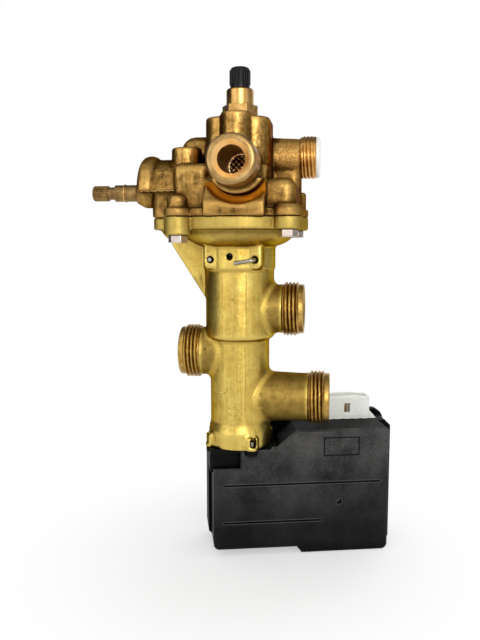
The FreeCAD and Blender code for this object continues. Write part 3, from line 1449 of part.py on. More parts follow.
def drive_pinion():
    points = [(PINION_X - x, PINION_Z + z) for x, z in pinion_outline()]
    gear = outline_y(points, -PINION_WIDTH / 2, PINION_WIDTH / 2)
    shaft_end = GEARBOX_FRONT + PINION_SHAFT_LENGTH
    shaft = round_y(PINION_SHAFT_RADIUS, -PINION_WIDTH / 2, shaft_end, PINION_X, PINION_Z)
    return turned_z(gear.fuse(shaft), ACTUATOR_ANGLE)


def rounded_gearbox():
    body = block(GEARBOX_LEFT, GEARBOX_RIGHT, GEARBOX_FRONT, HOUSING_INNER_BACK, GEARBOX_BOTTOM, GEARBOX_TOP)
    return body.makeFillet(COVER_CORNER, edges_where(body, is_along_y))


def gear_motor():
    gearbox = rounded_gearbox()
    can = round_y(MOTOR_RADIUS, MOTOR_FRONT, GEARBOX_FRONT, MOTOR_X, MOTOR_Z)
    rim = edges_where(can, lambda edge: lies_at_y(edge, MOTOR_FRONT))
    can = can.makeFillet(WALL, rim)
    bore_end = GEARBOX_FRONT + PINION_SHAFT_LENGTH + FREE_GAP
    bore = round_y(PINION_SHAFT_RADIUS + RUNNING_FIT, GEARBOX_FRONT, bore_end, PINION_X, PINION_Z)
    return turned_z(gearbox.fuse(can).cut(bore), ACTUATOR_ANGLE)


def end_switches():
    switches = []
    left = HOUSING_LEFT + WALL
    front = COVER_BACK + FREE_GAP
    for height in (SWITCH_HIGH_Z, SWITCH_LOW_Z):
        case = block(left, left + SWITCH_LENGTH, front, front + SWITCH_DEPTH,
                     height - SWITCH_HEIGHT / 2, height + SWITCH_HEIGHT / 2)
        switches.append(turned_z(case, ACTUATOR_ANGLE))
    return Part.makeCompound(switches)


def connector_housing():
    """White socket with an arched front, open at the top."""
    left = CONNECTOR_X - CONNECTOR_WIDTH / 2
    right = CONNECTOR_X + CONNECTOR_WIDTH / 2
    back = CONNECTOR_FRONT + CONNECTOR_DEPTH
    top = COVER_TOP + CONNECTOR_HEIGHT
    corners = [
        Vector(left, CONNECTOR_FRONT, top),
        Vector(left, CONNECTOR_FRONT, COVER_TOP),
        Vector(right, CONNECTOR_FRONT, COVER_TOP),
        Vector(right, CONNECTOR_FRONT, top),
    ]
    crown = Vector(CONNECTOR_X, CONNECTOR_FRONT, top + CONNECTOR_ARCH)
    sides = Part.makePolygon(corners).Edges
    arch = Part.Arc(corners[-1], crown, corners[0]).toShape()
    body = Part.Face(Part.Wire(sides + [arch])).extrude(Vector(0, CONNECTOR_DEPTH, 0))
    cavity = block(left + CONNECTOR_WALL, right - CONNECTOR_WALL, CONNECTOR_FRONT + CONNECTOR_WALL,
                   back - CONNECTOR_WALL, COVER_TOP + CONNECTOR_WALL, top + 2 * CONNECTOR_ARCH)
    window_low = COVER_TOP + CONNECTOR_WINDOW_LOW
    window = block(CONNECTOR_X - CONNECTOR_WINDOW_WIDTH / 2, CONNECTOR_X + CONNECTOR_WINDOW_WIDTH / 2,
                   CONNECTOR_FRONT, CONNECTOR_FRONT + CONNECTOR_WALL,
                   window_low, window_low + CONNECTOR_WINDOW_HEIGHT)
    slots = [terminal_bar(x, COVER_TOP, COVER_TOP + CONNECTOR_WALL, LOOSE_FIT) for x in terminal_places()]
    return turned_z(body.cut([cavity, window] + slots), ACTUATOR_ANGLE)


def connector_terminals():
    low = COVER_TOP - TERMINAL_BELOW
    high = COVER_TOP + TERMINAL_ABOVE
    bars = [terminal_bar(x, low, high, 0) for x in terminal_places()]
    return Part.makeCompound([turned_z(bar, ACTUATOR_ANGLE) for bar in bars])


NODES = [
    diverter_body, flange_bolts, retaining_clip, seal_cartridge, cartridge_rings, upper_seat, foot_bush,
    bush_ring, diverter_rod, lower_disc, lower_disc_seal, upper_disc, upper_disc_seal, return_spring,
    lower_plate, upper_plate, diaphragm, guide_spindle, rack_plunger, water_section, inlet_strainer,
    outlet_plug, gland_nut, adjuster_spindle, adjuster_knob, throttle_plug, tap_spindle, tap_circlip,
    tap_jumper, actuator_cover, actuator_housing, actuator_screws, foot_studs, drive_pinion, gear_motor,
    end_switches, connector_housing, connector_terminals,
]

os.makedirs("parts", exist_ok=True)
for make in NODES:
    shape = make()
    shape.translate(Vector(-LOWER_PORT_REACH, 0, 0))
    shape.exportStep(os.path.join("parts", make.__name__ + ".step"))
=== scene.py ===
from collections import namedtuple
import json
import math

import bmesh
import bpy
import numpy as np
from mathutils import Matrix, Vector


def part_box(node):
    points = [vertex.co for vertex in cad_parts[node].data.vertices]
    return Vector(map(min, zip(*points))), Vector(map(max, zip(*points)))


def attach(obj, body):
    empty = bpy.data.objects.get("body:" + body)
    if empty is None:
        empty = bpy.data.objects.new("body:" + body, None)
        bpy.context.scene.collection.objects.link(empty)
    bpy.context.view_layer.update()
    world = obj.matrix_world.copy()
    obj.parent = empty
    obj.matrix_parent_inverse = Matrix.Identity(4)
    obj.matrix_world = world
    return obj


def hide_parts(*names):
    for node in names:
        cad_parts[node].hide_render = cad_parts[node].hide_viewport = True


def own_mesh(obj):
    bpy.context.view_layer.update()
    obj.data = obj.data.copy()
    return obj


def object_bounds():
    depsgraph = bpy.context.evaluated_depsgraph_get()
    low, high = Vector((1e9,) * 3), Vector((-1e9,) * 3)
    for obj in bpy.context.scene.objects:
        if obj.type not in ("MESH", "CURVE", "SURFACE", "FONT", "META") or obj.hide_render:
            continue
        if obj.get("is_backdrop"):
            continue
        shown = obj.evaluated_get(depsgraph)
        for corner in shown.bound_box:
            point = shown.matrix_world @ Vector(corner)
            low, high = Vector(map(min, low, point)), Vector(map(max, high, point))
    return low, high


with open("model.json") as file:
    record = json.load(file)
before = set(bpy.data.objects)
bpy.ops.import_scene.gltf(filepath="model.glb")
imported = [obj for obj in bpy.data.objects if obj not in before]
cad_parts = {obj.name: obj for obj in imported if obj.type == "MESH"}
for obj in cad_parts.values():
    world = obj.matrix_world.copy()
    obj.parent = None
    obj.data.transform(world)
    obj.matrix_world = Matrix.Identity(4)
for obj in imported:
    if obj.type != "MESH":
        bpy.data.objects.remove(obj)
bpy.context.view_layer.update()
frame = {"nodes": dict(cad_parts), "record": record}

# Looks of the boiler diverter valve, in metres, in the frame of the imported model.
MM = 0.001
NODES = frame["nodes"]
MOUNTS = {mount["name"]: mount for mount in frame["record"]["mounts"]}
ROD_LOW, ROD_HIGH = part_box("diverter_rod")
BARREL_X = (ROD_LOW.x + ROD_HIGH.x) / 2
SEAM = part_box("diverter_body")[1].z
PORTS = ["lower_right", "upper_right", "left"]

# Camera, as worked out from the photograph
CAMERA_AZIMUTH = 8.0
CAMERA_PITCH = 6.45
CAMERA_DISTANCE = 344 * MM
CAMERA_HEIGHT = 77 * MM
FOCAL_PIXELS = 690.0
IMAGE_HEIGHT = 640.0
SENSOR = 36.0
CAMERA_NEAR = 10 * MM

# Meshes: points that count as one, angles from which an edge is sharp, and what round shapes are made of
SAME_POINT = 0.001 * MM
FLAT_ANGLE = 1.0
MOULDED_SHARP = 35.0
TURNED_SHARP = 32.0
WIRE_SHARP = 60.0
SOFT_SHARP = 40.0
ROUNDING_SEGMENTS = 2
FLAT_FACE_WEIGHT = 100
TURNED_SEGMENTS = 96
TUBE_SIDES = 8
DOME_RINGS = 4
DOME_SEGMENTS = 14

# Castings
CAST_VOXEL = 0.55 * MM
CAST_ROUNDING_STEPS = 7
WATER_ROUNDING_STEPS = 11
CAST_ROUNDING_SHARE = 0.5
CAST_KEPT_SHARE = 0.35
CAST_LONG_EDGE = 3.0 * MM
CAST_SPLITS = 3
HOLLOW_STEPS = 24
HOLLOW_DEPTH = 1.2 * MM
LOWER_SEAT = 9.7 * MM
LOWER_SEAT_REACH = 12 * MM
LOWER_SEAT_RELIEF = 0.6 * MM
LOWER_SEAT_SPARE = 0.1 * MM

# Sandy rim where a port leaves the barrel, painted paler partly as a highlight on it, and duller neck beyond
# it, by distance from the barrel's wall
BARREL_STEP = 29.2 * MM
NECKS_LOW = -13.5 * MM
NECKS_HIGH = 60 * MM
RIM_START = 0.15 * MM
RIM_FULL = 0.6 * MM
RIM_END = 1.9 * MM
NECK_CLEAR = 2.5 * MM

# Sandy neck of the outlet, painted paler partly to stand in for light on it, dull bowl and flange, and bronze
# that is duller towards the seam
OUTLET_NECK = 13 * MM
OUTLET_NECK_FADE = 3 * MM
OUTLET_SKIN = 1.0 * MM
BOWL_LOW = 77 * MM
FLANGE_LOW = 82 * MM
FLANGE_PATINA = 1.0
BRONZE_PATINA = 0.85
BRONZE_PATINA_RISE = 26 * MM

# Turned ends of the ports
THREAD_PITCH = 1.814 * MM
THREAD_DEPTH = 1.1 * MM
THREAD_ROWS_PER_TURN = 10
THREAD_STEEPNESS = 1.7
THREAD_ROOT_CUT = 0.1
THREAD_HOLLOW_STEPS = 10
THREAD_HOLLOW_DEPTH = 0.7 * MM
THREAD_SPARE = 0.2 * MM
THREAD_WALL_SPARE = 0.3 * MM
PORT_END_BAND = 2.2 * MM
PORT_END_RADIUS = 12.06 * MM
PORT_BORE_RADIUS = 9.0 * MM
PORT_MOUTH_CHAMFER = 1.0 * MM
PORT_LINING = 20 * MM
SUNK = 0.9 * MM
EDGE = 0.3 * MM

# Inlet nose, strainer and outlet thread
NOSE_CHAMFER = 0.6 * MM
NOSE_ROUNDING = 1.9 * MM
NOSE_ROUNDING_STEPS = 10
NOSE_MOUTH_RADIUS = 8.0 * MM
NOSE_MOUTH_DEPTH = 2.0 * MM
NOSE_BORE_RADIUS = 6.0 * MM
NOSE_WALL = 0.5 * MM
NOSE_COLLAR_RADIUS = 13.4 * MM
SCALLOP_RADIUS = 17.3 * MM
SCALLOP_BACK = -27 * MM
SCALLOP_SPARE = 0.5 * MM
WEAVE_SPACING = 1.8 * MM
WEAVE_WIRE = 0.27 * MM
WEAVE_WIRE_SIDES = 6
WEAVE_STEPS_PER_CELL = 6
WEAVE_LEAST_STEPS = 2
WEAVE_RIM = 0.3 * MM
OUTLET_BORE_RADIUS = 7.2 * MM
OUTLET_THREAD_DEPTH = 0.45 * MM

# Marks of the mould on the barrel, as angle from the front and height
BARREL_RADIUS = 14.75 * MM
UPPER_BARREL_RADIUS = 17.0 * MM
PARTING_ANGLE = 18.0
PARTING_SPANS = [(BARREL_RADIUS, -10 * MM, 27 * MM), (UPPER_BARREL_RADIUS, 33 * MM, 62 * MM)]
PARTING_WIRE = 0.22 * MM
PARTING_STEPS = 12
DOT_RADIUS = 0.7 * MM
DOT_HEIGHT = 0.65 * MM
DOT_SUNK = DOT_HEIGHT / 3
MARK_HOLLOW_STEPS = 1
LOWER_DOTS = [(-34, 3.5), (-21, 3.5), (-13, -3.5), (-2.5, -3.5), (-11, -6.8), (0.5, -6.8)]
UPPER_DOTS = [(-3.3, 49.6)]

# Flash line along the lower edge of the tap's hood
TAP_AXIS_Y = -3.0 * MM
TAP_AXIS_Z = 101.0 * MM
HOOD_LEFT = -90 * MM
HOOD_RIGHT = -72 * MM
HOOD_RADIUS = 16.0 * MM
FLASH_WIRE = 0.28 * MM
FLASH_WANDER = 0.3 * MM
FLASH_SLOW_WAVE = 23
FLASH_QUICK_WAVE = 57
FLASH_SHIFT = 1
FLASH_STEPS = 48

# Actuator, in its own frame, which is turned about the barrel
ACTUATOR_ANGLE = 14.0
COVER_FACE = -13.9 * MM
PLATE_LEFT = 40.6 * MM
PLATE_RIGHT = 58.7 * MM
PLATE_LOW = -29.1 * MM
PLATE_HIGH = -19.7 * MM
PLATE_LINE = 0.4 * MM
PLATE_RISE = 0.15 * MM
CONNECTOR_LEFT = 45.4 * MM
CONNECTOR_RIGHT = 69.4 * MM
CONNECTOR_FRONT = 6.0 * MM
CONNECTOR_BASE = -15.6 * MM
CONNECTOR_TOP = -4.2 * MM
LIP_DROP = 1.0 * MM
LIP_RISE = 0.35 * MM
WEDGE_REACH = 3.8 * MM
WEDGE_HEIGHT = 4.2 * MM
WEDGE_DEPTH = 1.6 * MM
FOOT_RIB_COUNT = 5
FOOT_RIB_HALF_SHARE = 1 / 3
FOOT_RIB_HEIGHT = 2.2 * MM

# Noises of a cast skin: cells for each metre, detail, roughness and, for the streaks, a stretch
CAST_NOISES = {
    "patches": (75, 4.0, 0.6),
    "stains": (230, 6.0, 0.7),
    "grit": (700, 3.0, 0.65),
    "streaks": (800, 3.0, 0.6, (1.0, 1.0, 0.05)),
    "specks": (1300, 2.0, 0.6),
    "pits": (460, 1.0, 0.4),
    "lumps": (130, 3.0, 0.5),
    "grain": (420, 3.0, 0.6),
    "fine grain": (2200, 2.0, 0.5),
}
CUT_METALLIC = 0.45
DULL_ROUGHNESS = 0.2

# How far the roughness goes below and above its middle
CAST_SPREAD = (0.08, 0.14)
METAL_SPREAD = (0.06, 0.1)
THREAD_SPREAD = (0.06, 0.14)
PLASTIC_SPREAD = (0.1, 0.15)

# Reach of painted shade and grime in corners, and of wear and painted highlight along edges; a lighter grey
# by height, with painted shade on faces that look up
OPENNESS_SAMPLES = 8
CAST_SHADE_REACH = 7 * MM
METAL_SHADE_REACH = 3 * MM
METAL_SHADE_LEVEL = 0.25
PLASTIC_SHADE_REACH = 10 * MM
PLASTIC_SHADE_LEVEL = 0.1
PLASTIC_EDGE_REACH = 0.8 * MM
KNOB_EDGE_REACH = 0.25 * MM
LIGHTENING_LOW = -65 * MM
LIGHTENING_HIGH = -22 * MM
LEAST_LIGHTENING = 0.15
TOP_SHADE_START = 0.71
TOP_SHADE_FULL = 0.76

# Sockets of a mix node that serve colours
MIX_SHARE = 0
MIX_FIRST = 6
MIX_SECOND = 7
MIX_RESULT = 2

# Floor and studio. A lamp has a name, a place, a size and a power in watts
STUDIO_MIDDLE = Vector((BARREL_X, 0, 40 * MM))
FLOOR_SIZE = 6.0
FLOOR_GAP = 0.2 * MM
FLOOR_NEAR = 0.04
FLOOR_FAR = 0.13
FLOOR_LIFT = 0.45
FLOOR_LEVEL = 0.95
FLOOR_ROUGHNESS = 0.9
CARD_ROUGHNESS = 1.0
WORLD_LEVEL = 0.75
LAMPS = [
    ("key", (0.25, -0.95, 0.32), 0.4, 3.9),
    ("fill", (-0.6, -0.6, 0.25), 0.6, 1.0),
    ("rim", (0.2, 0.7, 0.6), 0.5, 1.0),
]

# Dark cards that the metal mirrors: name, place, width, height and grey level
CARDS = [
    ("right_card", (0.42, 0.12, 0.1), 0.5, 0.6, 0.4),
    ("left_card", (-0.5, 0.1, 0.1), 0.65, 0.6, 0.03),
    ("top_card", (-0.03, 0.25, 0.5), 0.9, 0.7, 0.16),
]


# Mesh helpers

def link(name, mesh):
    piece = bpy.data.objects.new(name, mesh)
    bpy.context.scene.collection.objects.link(piece)
    return piece


def edit(mesh, work_on):
    """Opens a mesh for editing, calls work_on with it and stores the result."""
    work = bmesh.new()
    work.from_mesh(mesh)
    work_on(work)
    work.to_mesh(mesh)
    work.free()


def cad_copy(node, name):
    mesh = NODES[node].data.copy()
    mesh.materials.clear()
    edit(mesh, lambda work: bmesh.ops.remove_doubles(work, verts=work.verts, dist=SAME_POINT))
    return link(name, mesh)


def bake_modifiers(piece):
    """Puts the result of a piece's modifiers into its mesh."""
    graph = bpy.context.evaluated_depsgraph_get()
    mesh = bpy.data.meshes.new_from_object(piece.evaluated_get(graph))
    piece.modifiers.clear()
    piece.data = mesh


def values_of(items, name, width, kind=float):
    """Values of a mesh's points, edges or faces, as an array with a row for each."""
    flat = np.empty(len(items) * width, dtype=kind)
    items.foreach_get(name, flat)
    return flat.reshape(-1, width)


def points_of(mesh):
    return values_of(mesh.vertices, "co", 3)


def move_points(mesh, points):
    mesh.vertices.foreach_set("co", points.reshape(-1))
    mesh.update()


def smooth_shading(mesh, sharp):
    mesh.shade_smooth()
    mesh.set_sharp_from_angle(angle=math.radians(sharp))


def dress(piece, body, material, slot, *nodes):
    """Gives a piece its material and its body, and hides the solids it stands for. Its slot is not used."""
    piece.data.materials.clear()
    piece.data.materials.append(material)
    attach(piece, body)
    if nodes:
        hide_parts(*nodes)


def rounded_copy(node, name, width):
    """Copy of a solid with its sharp edges rounded as they are on a moulded or turned piece."""
    piece = cad_copy(node, name)
    edit(piece.data, lambda work: bmesh.ops.dissolve_limit(
        work, angle_limit=math.radians(FLAT_ANGLE), verts=work.verts, edges=work.edges))
    smooth_shading(piece.data, MOULDED_SHARP)
    bevel = piece.modifiers.new("rounded edges", "BEVEL")
    bevel.width = width
    bevel.segments = ROUNDING_SEGMENTS
    bevel.limit_method = "ANGLE"
    bevel.angle_limit = math.radians(MOULDED_SHARP)
    bevel.use_clamp_overlap = True
    bevel.harden_normals = True
    even = piece.modifiers.new("flat faces", "WEIGHTED_NORMAL")
    even.weight = FLAT_FACE_WEIGHT
    even.keep_sharp = True
    bake_modifiers(piece)
    return piece


def spokes_about(direction, count):
    """An axis, and evenly spaced turns about it, each with its way out from the axis."""
    along = Vector(direction).normalized()
    side = along.orthogonal().normalized()
    other = along.cross(side)
    turns = [2 * math.pi * step / count for step in range(count)]
    return along, [(turn, side * math.cos(turn) + other * math.sin(turn)) for turn in turns]


def row_faces(row, after, count):
    """Faces between two closed rows of corners, which start at the indices row and after."""
    faces = []
    for step in range(count):
        beside = (step + 1) % count
        faces.append((row + step, row + beside, after + beside, after + step))
    return faces


def ring_shape(origin, direction, rows):
    """Closed ring turned about an axis. A row is a distance along it and a function from turn to radius."""
    along, spokes = spokes_about(direction, TURNED_SEGMENTS)
    corners = []
    for distance, radius_at in rows:
        for turn, spoke in spokes:
            corners.append(origin + along * distance + spoke * radius_at(turn))
    faces = []
    for row in range(len(rows)):
        after = (row + 1) % len(rows)
        faces += row_faces(row * TURNED_SEGMENTS, after * TURNED_SEGMENTS, TURNED_SEGMENTS)
    return corners, faces


def tube_shape(points, radius, sides=TUBE_SIDES):
    """Closed tube along a row of points."""
    corners = []
    for index, point in enumerate(points):
        before = points[max(index - 1, 0)]
        after = points[min(index + 1, len(points) - 1)]
        spokes = spokes_about(after - before, sides)[1]
        corners += [point + spoke * radius for turn, spoke in spokes]
    last = (len(points) - 1) * sides
    faces = []
    for row in range(len(points) - 1):
        faces += row_faces(row * sides, (row + 1) * sides, sides)
    faces.append(tuple(range(sides)))
    faces.append(tuple(range(last, last + sides)))
    return corners, faces


def dome_shape(place, direction, radius, height):
    """Low round bump that stands on a surface."""
    along, spokes = spokes_about(direction, DOME_SEGMENTS)
    corners = []
    for ring in range(DOME_RINGS):
        lift = math.pi / 2 * ring / DOME_RINGS
        for turn, spoke in spokes:
            corners.append(place + spoke * radius * math.cos(lift) + along * height * math.sin(lift))
    corners.append(place + along * height)
    top = len(corners) - 1
    last = top - DOME_SEGMENTS
    faces = [tuple(range(DOME_SEGMENTS))]
    for ring in range(DOME_RINGS - 1):
        faces += row_faces(ring * DOME_SEGMENTS, (ring + 1) * DOME_SEGMENTS, DOME_SEGMENTS)
    for step in range(DOME_SEGMENTS):
        faces.append((last + step, last + (step + 1) % DOME_SEGMENTS, top))
    return corners, faces


def prism_shape(outline, depth):
    """Flat outline, given as points, pushed along a vector."""
    count = len(outline)
    corners = list(outline) + [point + depth for point in outline]
    faces = [tuple(range(count)), tuple(range(count, 2 * count))]
    return corners, faces + row_faces(0, count, count)


def mesh_piece(name, shapes, sharp=TURNED_SHARP):
    """One piece from several shapes, with edges shown sharp from an angle."""
    corners = []
    faces = []
    for shape_corners, shape_faces in shapes:
        start = len(corners)
        corners += [tuple(corner) for corner in shape_corners]
        faces += [tuple(start + index for index in face) for face in shape_faces]
    mesh = bpy.data.meshes.new(name)
    mesh.from_pydata(corners, [], faces)
    mesh.update()
    edit(mesh, lambda work: bmesh.ops.recalc_face_normals(work, faces=work.faces))
    smooth_shading(mesh, sharp)
    return link(name, mesh)


def plain(radius):
    """Radius of a row that is the same at every turn."""
    return lambda turn: radius


def thread_rows(start, end, crest, depth, pitch):
    """Rows of an outside thread, which runs out to its root at both ends."""
    count = int((end - start) / pitch * THREAD_ROWS_PER_TURN)
    fade = pitch / 2
    rows = []
    for step in range(count + 1):
        distance = start + (end - start) * step / count
        share = min(1.0, (distance - start) / fade, (end - distance) / fade)

        def radius_at(turn, distance=distance, share=share):
            phase = (distance / pitch - turn / (2 * math.pi)) % 1.0
            flank = THREAD_STEEPNESS * (1 - abs(2 * phase - 1)) - THREAD_ROOT_CUT
            height = min(1.0, max(0.0, flank))
            return crest - depth + depth * height * share

        rows.append((distance, radius_at))
    return rows


def mount_axis(name):
    """Middle, direction, radius and half length of a round mount."""
    mount = MOUNTS[name]
    dims = mount["dims"]
    return Vector(mount["pos_m"]), Vector(mount["axis"]), dims["r_mm"] * MM, dims["length_mm"] * MM / 2


def round_barrel(angle, radius, height):
    """Point on a cylinder about the barrel's axis, at an angle from the front, and the way out from there."""
    turn = math.radians(angle)
    out = Vector((math.sin(turn), -math.cos(turn), 0))
    return Vector((BARREL_X, 0, height)) + out * radius, out


ACTUATOR_FRAME = Matrix.Translation((BARREL_X, 0, 0)) @ Matrix.Rotation(math.radians(ACTUATOR_ANGLE), 4, "Z")


def in_actuator(x, y, z):
    return ACTUATOR_FRAME @ Vector((x, y, z))


def actuator_way(x, y, z):
    return ACTUATOR_FRAME.to_3x3() @ Vector((x, y, z))


# Material helpers

def new_material(name):
    """A material with its node tree, its shader and the place on the piece that its noises follow."""
    material = bpy.data.materials.new(name)
    material.use_nodes = True
    tree = material.node_tree
    shader = tree.nodes["Principled BSDF"]
    place = tree.nodes.new("ShaderNodeTexCoord").outputs["Object"]
    return material, tree, shader, place


def noise(tree, place, scale, detail, roughness, stretch=None):
    source = place
    if stretch is not None:
        mapping = tree.nodes.new("ShaderNodeMapping")
        mapping.inputs["Scale"].default_value = stretch
        tree.links.new(place, mapping.inputs["Vector"])
        source = mapping.outputs["Vector"]
    node = tree.nodes.new("ShaderNodeTexNoise")
    node.inputs["Scale"].default_value = scale
    node.inputs["Detail"].default_value = detail
    node.inputs["Roughness"].default_value = roughness
    tree.links.new(source, node.inputs["Vector"])
    return node.outputs["Fac"]


def ramp(tree, value, start, first, end, last):
    """Colour that goes from a first to a last one while a value goes from start to end."""
    node = tree.nodes.new("ShaderNodeValToRGB")
    stops = zip(node.color_ramp.elements, (start, end), (first, last))
    for element, position, colour in stops:
        element.position = position
        element.color = (*colour, 1.0)
    tree.links.new(value, node.inputs["Fac"])
    return node.outputs["Color"]


def grey(level):
    return (level, level, level)


def rising(tree, value, start, end, amount):
    """0 up to the start, and an amount from the end."""
    return ramp(tree, value, start, grey(0.0), end, grey(amount))


def falling(tree, value, start, end, amount):
    """An amount up to the start, and 0 from the end."""
    return ramp(tree, value, start, grey(amount), end, grey(0.0))


def mix(tree, share, first, second):
    """Mix of two colours, each a socket or a tuple."""
    node = tree.nodes.new("ShaderNodeMix")
    node.data_type = "RGBA"
    tree.links.new(share, node.inputs[MIX_SHARE])
    for socket, value in ((node.inputs[MIX_FIRST], first), (node.inputs[MIX_SECOND], second)):
        if isinstance(value, tuple):
            socket.default_value = (*value, 1.0)
        else:
            tree.links.new(value, socket)
    return node.outputs[MIX_RESULT]


def combine(tree, operation, first, second):
    """Math of two values, each a socket or a number."""
    node = tree.nodes.new("ShaderNodeMath")
    node.operation = operation
    for socket, value in zip(node.inputs, (first, second)):
        if isinstance(value, float):
            socket.default_value = value
        else:
            tree.links.new(value, socket)
    return node.outputs[0]


def span(tree, value, low, high, start=0.0, end=1.0, smooth=False):
    """Goes from low to high while a value goes from start to end."""
    node = tree.nodes.new("ShaderNodeMapRange")
    if smooth:
        node.interpolation_type = "SMOOTHSTEP"
    node.inputs["From Min"].default_value = start
    node.inputs["From Max"].default_value = end
    node.inputs["To Min"].default_value = low
    node.inputs["To Max"].default_value = high
    tree.links.new(value, node.inputs["Value"])
    return node.outputs["Result"]


def uneven_roughness(tree, value, roughness, spread):
    """Roughness that follows a noise, from a little below its middle to a little above it."""
    below, above = spread
    return span(tree, value, roughness - below, roughness + above)


def upward_part(tree, vector):
    """Height of a place, or how far a face looks up."""
    node = tree.nodes.new("ShaderNodeSeparateXYZ")
    tree.links.new(vector, node.inputs["Vector"])
    return node.outputs["Z"]


def bump(tree, height, strength, distance, under=None):
    """Relief with a height, on top of another relief where one is given."""
    node = tree.nodes.new("ShaderNodeBump")
    node.inputs["Strength"].default_value = strength
    node.inputs["Distance"].default_value = distance
    tree.links.new(height, node.inputs["Height"])
    if under is not None:
        tree.links.new(under, node.inputs["Normal"])
    return node.outputs["Normal"]


def attribute(tree, name):
    """Value that store has put on a mesh."""
    node = tree.nodes.new("ShaderNodeAttribute")
    node.attribute_name = name
    return node.outputs["Fac"]


def openness(tree, reach, inside=False):
    """1 on an open surface and less in corners and under ledges, or, from inside, less along edges."""
    node = tree.nodes.new("ShaderNodeAmbientOcclusion")
    node.samples = OPENNESS_SAMPLES
    node.inside = inside
    node.inputs["Distance"].default_value = reach
    return node.outputs["AO"]


def srgb(red, green, blue):
    """Linear colour from 0 to 255 values, by the sRGB curve."""
    def linear(level):
        level = level / 255
        return level / 12.92 if level <= 0.04045 else ((level + 0.055) / 1.055) ** 2.4
    return (linear(red), linear(green), linear(blue))


# Materials

CastTones = namedtuple("CastTones", "light middle dark hollow grime machined patina")


def cast_colour(tree, marks, tones, staining):
    """Colour of a cast skin: patches, and layers of a share and a tone laid over them one by one."""
    stained = rising(tree, marks["stains"], 0.43, 0.63, staining)
    sand_and_light = ramp(tree, marks["specks"], 0.42, tones.middle, 0.6, tones.light)
    hollow = attribute(tree, "hollow")
    shade = openness(tree, CAST_SHADE_REACH)
    layers = [
        (stained, tones.dark),
        (rising(tree, marks["grit"], 0.5, 0.68, 0.7 * staining), tones.dark),
        (rising(tree, marks["streaks"], 0.54, 0.76, 0.35), tones.dark),
        (falling(tree, marks["streaks"], 0.3, 0.46, 0.7), tones.light),
        (rising(tree, marks["specks"], 0.6, 0.76, 0.4), tones.light),
        (attribute(tree, "patina"), mix(tree, stained, tones.patina, tones.grime)),
        # Sandy skin, painted paler partly as light on the rims and the outlet's neck
        (attribute(tree, "rim"), sand_and_light),
        # Painted shade and grime in hollows, then convex edges painted lighter, partly wear and partly
        # painted highlight
        (rising(tree, hollow, 0.54, 0.85, 0.8), tones.hollow),
        (falling(tree, hollow, 0.2, 0.42, 0.5), tones.light),
        (rising(tree, marks["pits"], 0.76, 0.81, 0.7), tones.grime),
        # Painted shade: the grime tone where the surface is closed in, as in corners and under ledges
        (falling(tree, shade, 0.3, 0.8, 0.82), tones.grime),
        # Cut faces, in a copper tone that partly paints in the shade and warm reflection they show
        (attribute(tree, "machined"), tones.machined),
    ]
    colour = ramp(tree, marks["patches"], 0.34, tones.middle, 0.66, tones.light)
    for share, tone in layers:
        colour = mix(tree, share, colour, tone)
    return colour


def cast_relief(tree, marks, grain):
    """Relief of a cast skin, from lumps to fine grain. A layer is a mark, a strength and a distance."""
    layers = [
        ("lumps", 0.1 + 0.6 * grain, 0.9 * MM),
        ("grain", grain, 0.3 * MM),
        ("streaks", 0.12, 0.1 * MM),
        ("fine grain", 0.35, 0.12 * MM),
    ]
    relief = None
    for mark, strength, distance in layers:
        relief = bump(tree, marks[mark], strength, distance, relief)
    return relief


def cast_brass(name, tones, roughness, staining, grain):
    """Cast brass: stained, streaked and rough, with grime and painted shade in corners, rubbed edges painted
    lighter as wear and highlight, dull places, and a cut whose tone partly paints in shade and warm
    reflection.
    """
    material, tree, shader, place = new_material(name)
    marks = {mark: noise(tree, place, *form) for mark, form in CAST_NOISES.items()}
    tree.links.new(cast_colour(tree, marks, tones, staining), shader.inputs["Base Color"])
    # Cut faces are less metallic, so that their painted tone shows
    cut = attribute(tree, "machined")
    tree.links.new(span(tree, cut, 1.0, CUT_METALLIC), shader.inputs["Metallic"])
    shader.inputs["Specular Tint"].default_value = (*tones.patina, 1.0)
    dull = combine(tree, "ADD", attribute(tree, "patina"), attribute(tree, "rim"))
    rougher = combine(tree, "MULTIPLY", dull, DULL_ROUGHNESS)
    rough = uneven_roughness(tree, marks["stains"], roughness, CAST_SPREAD)
    tree.links.new(combine(tree, "ADD", rough, rougher), shader.inputs["Roughness"])
    tree.links.new(cast_relief(tree, marks, grain), shader.inputs["Normal"])
    return material


def turned_metal(name, light, dark, roughness, shade_and_soiling=0.8):
    """Turned or drawn metal: faint tool marks and uneven shine, with painted shade and soiling darkening its
    corners.
    """
    material, tree, shader, place = new_material(name)
    tone = noise(tree, place, scale=260, detail=4.0, roughness=0.6)
    colour = ramp(tree, tone, 0.35, dark, 0.65, light)
    # Painted shade and soiling: darker where the surface is closed in
    shade = openness(tree, METAL_SHADE_REACH)
    grime = tuple(METAL_SHADE_LEVEL * level for level in dark)
    colour = mix(tree, falling(tree, shade, 0.25, 0.8, shade_and_soiling), colour, grime)
    tree.links.new(colour, shader.inputs["Base Color"])
    shader.inputs["Metallic"].default_value = 1.0
    tree.links.new(uneven_roughness(tree, tone, roughness, METAL_SPREAD), shader.inputs["Roughness"])
    lines = noise(tree, place, scale=900, detail=2.0, roughness=0.5)
    tree.links.new(bump(tree, lines, strength=0.1, distance=0.05 * MM), shader.inputs["Normal"])
    return material


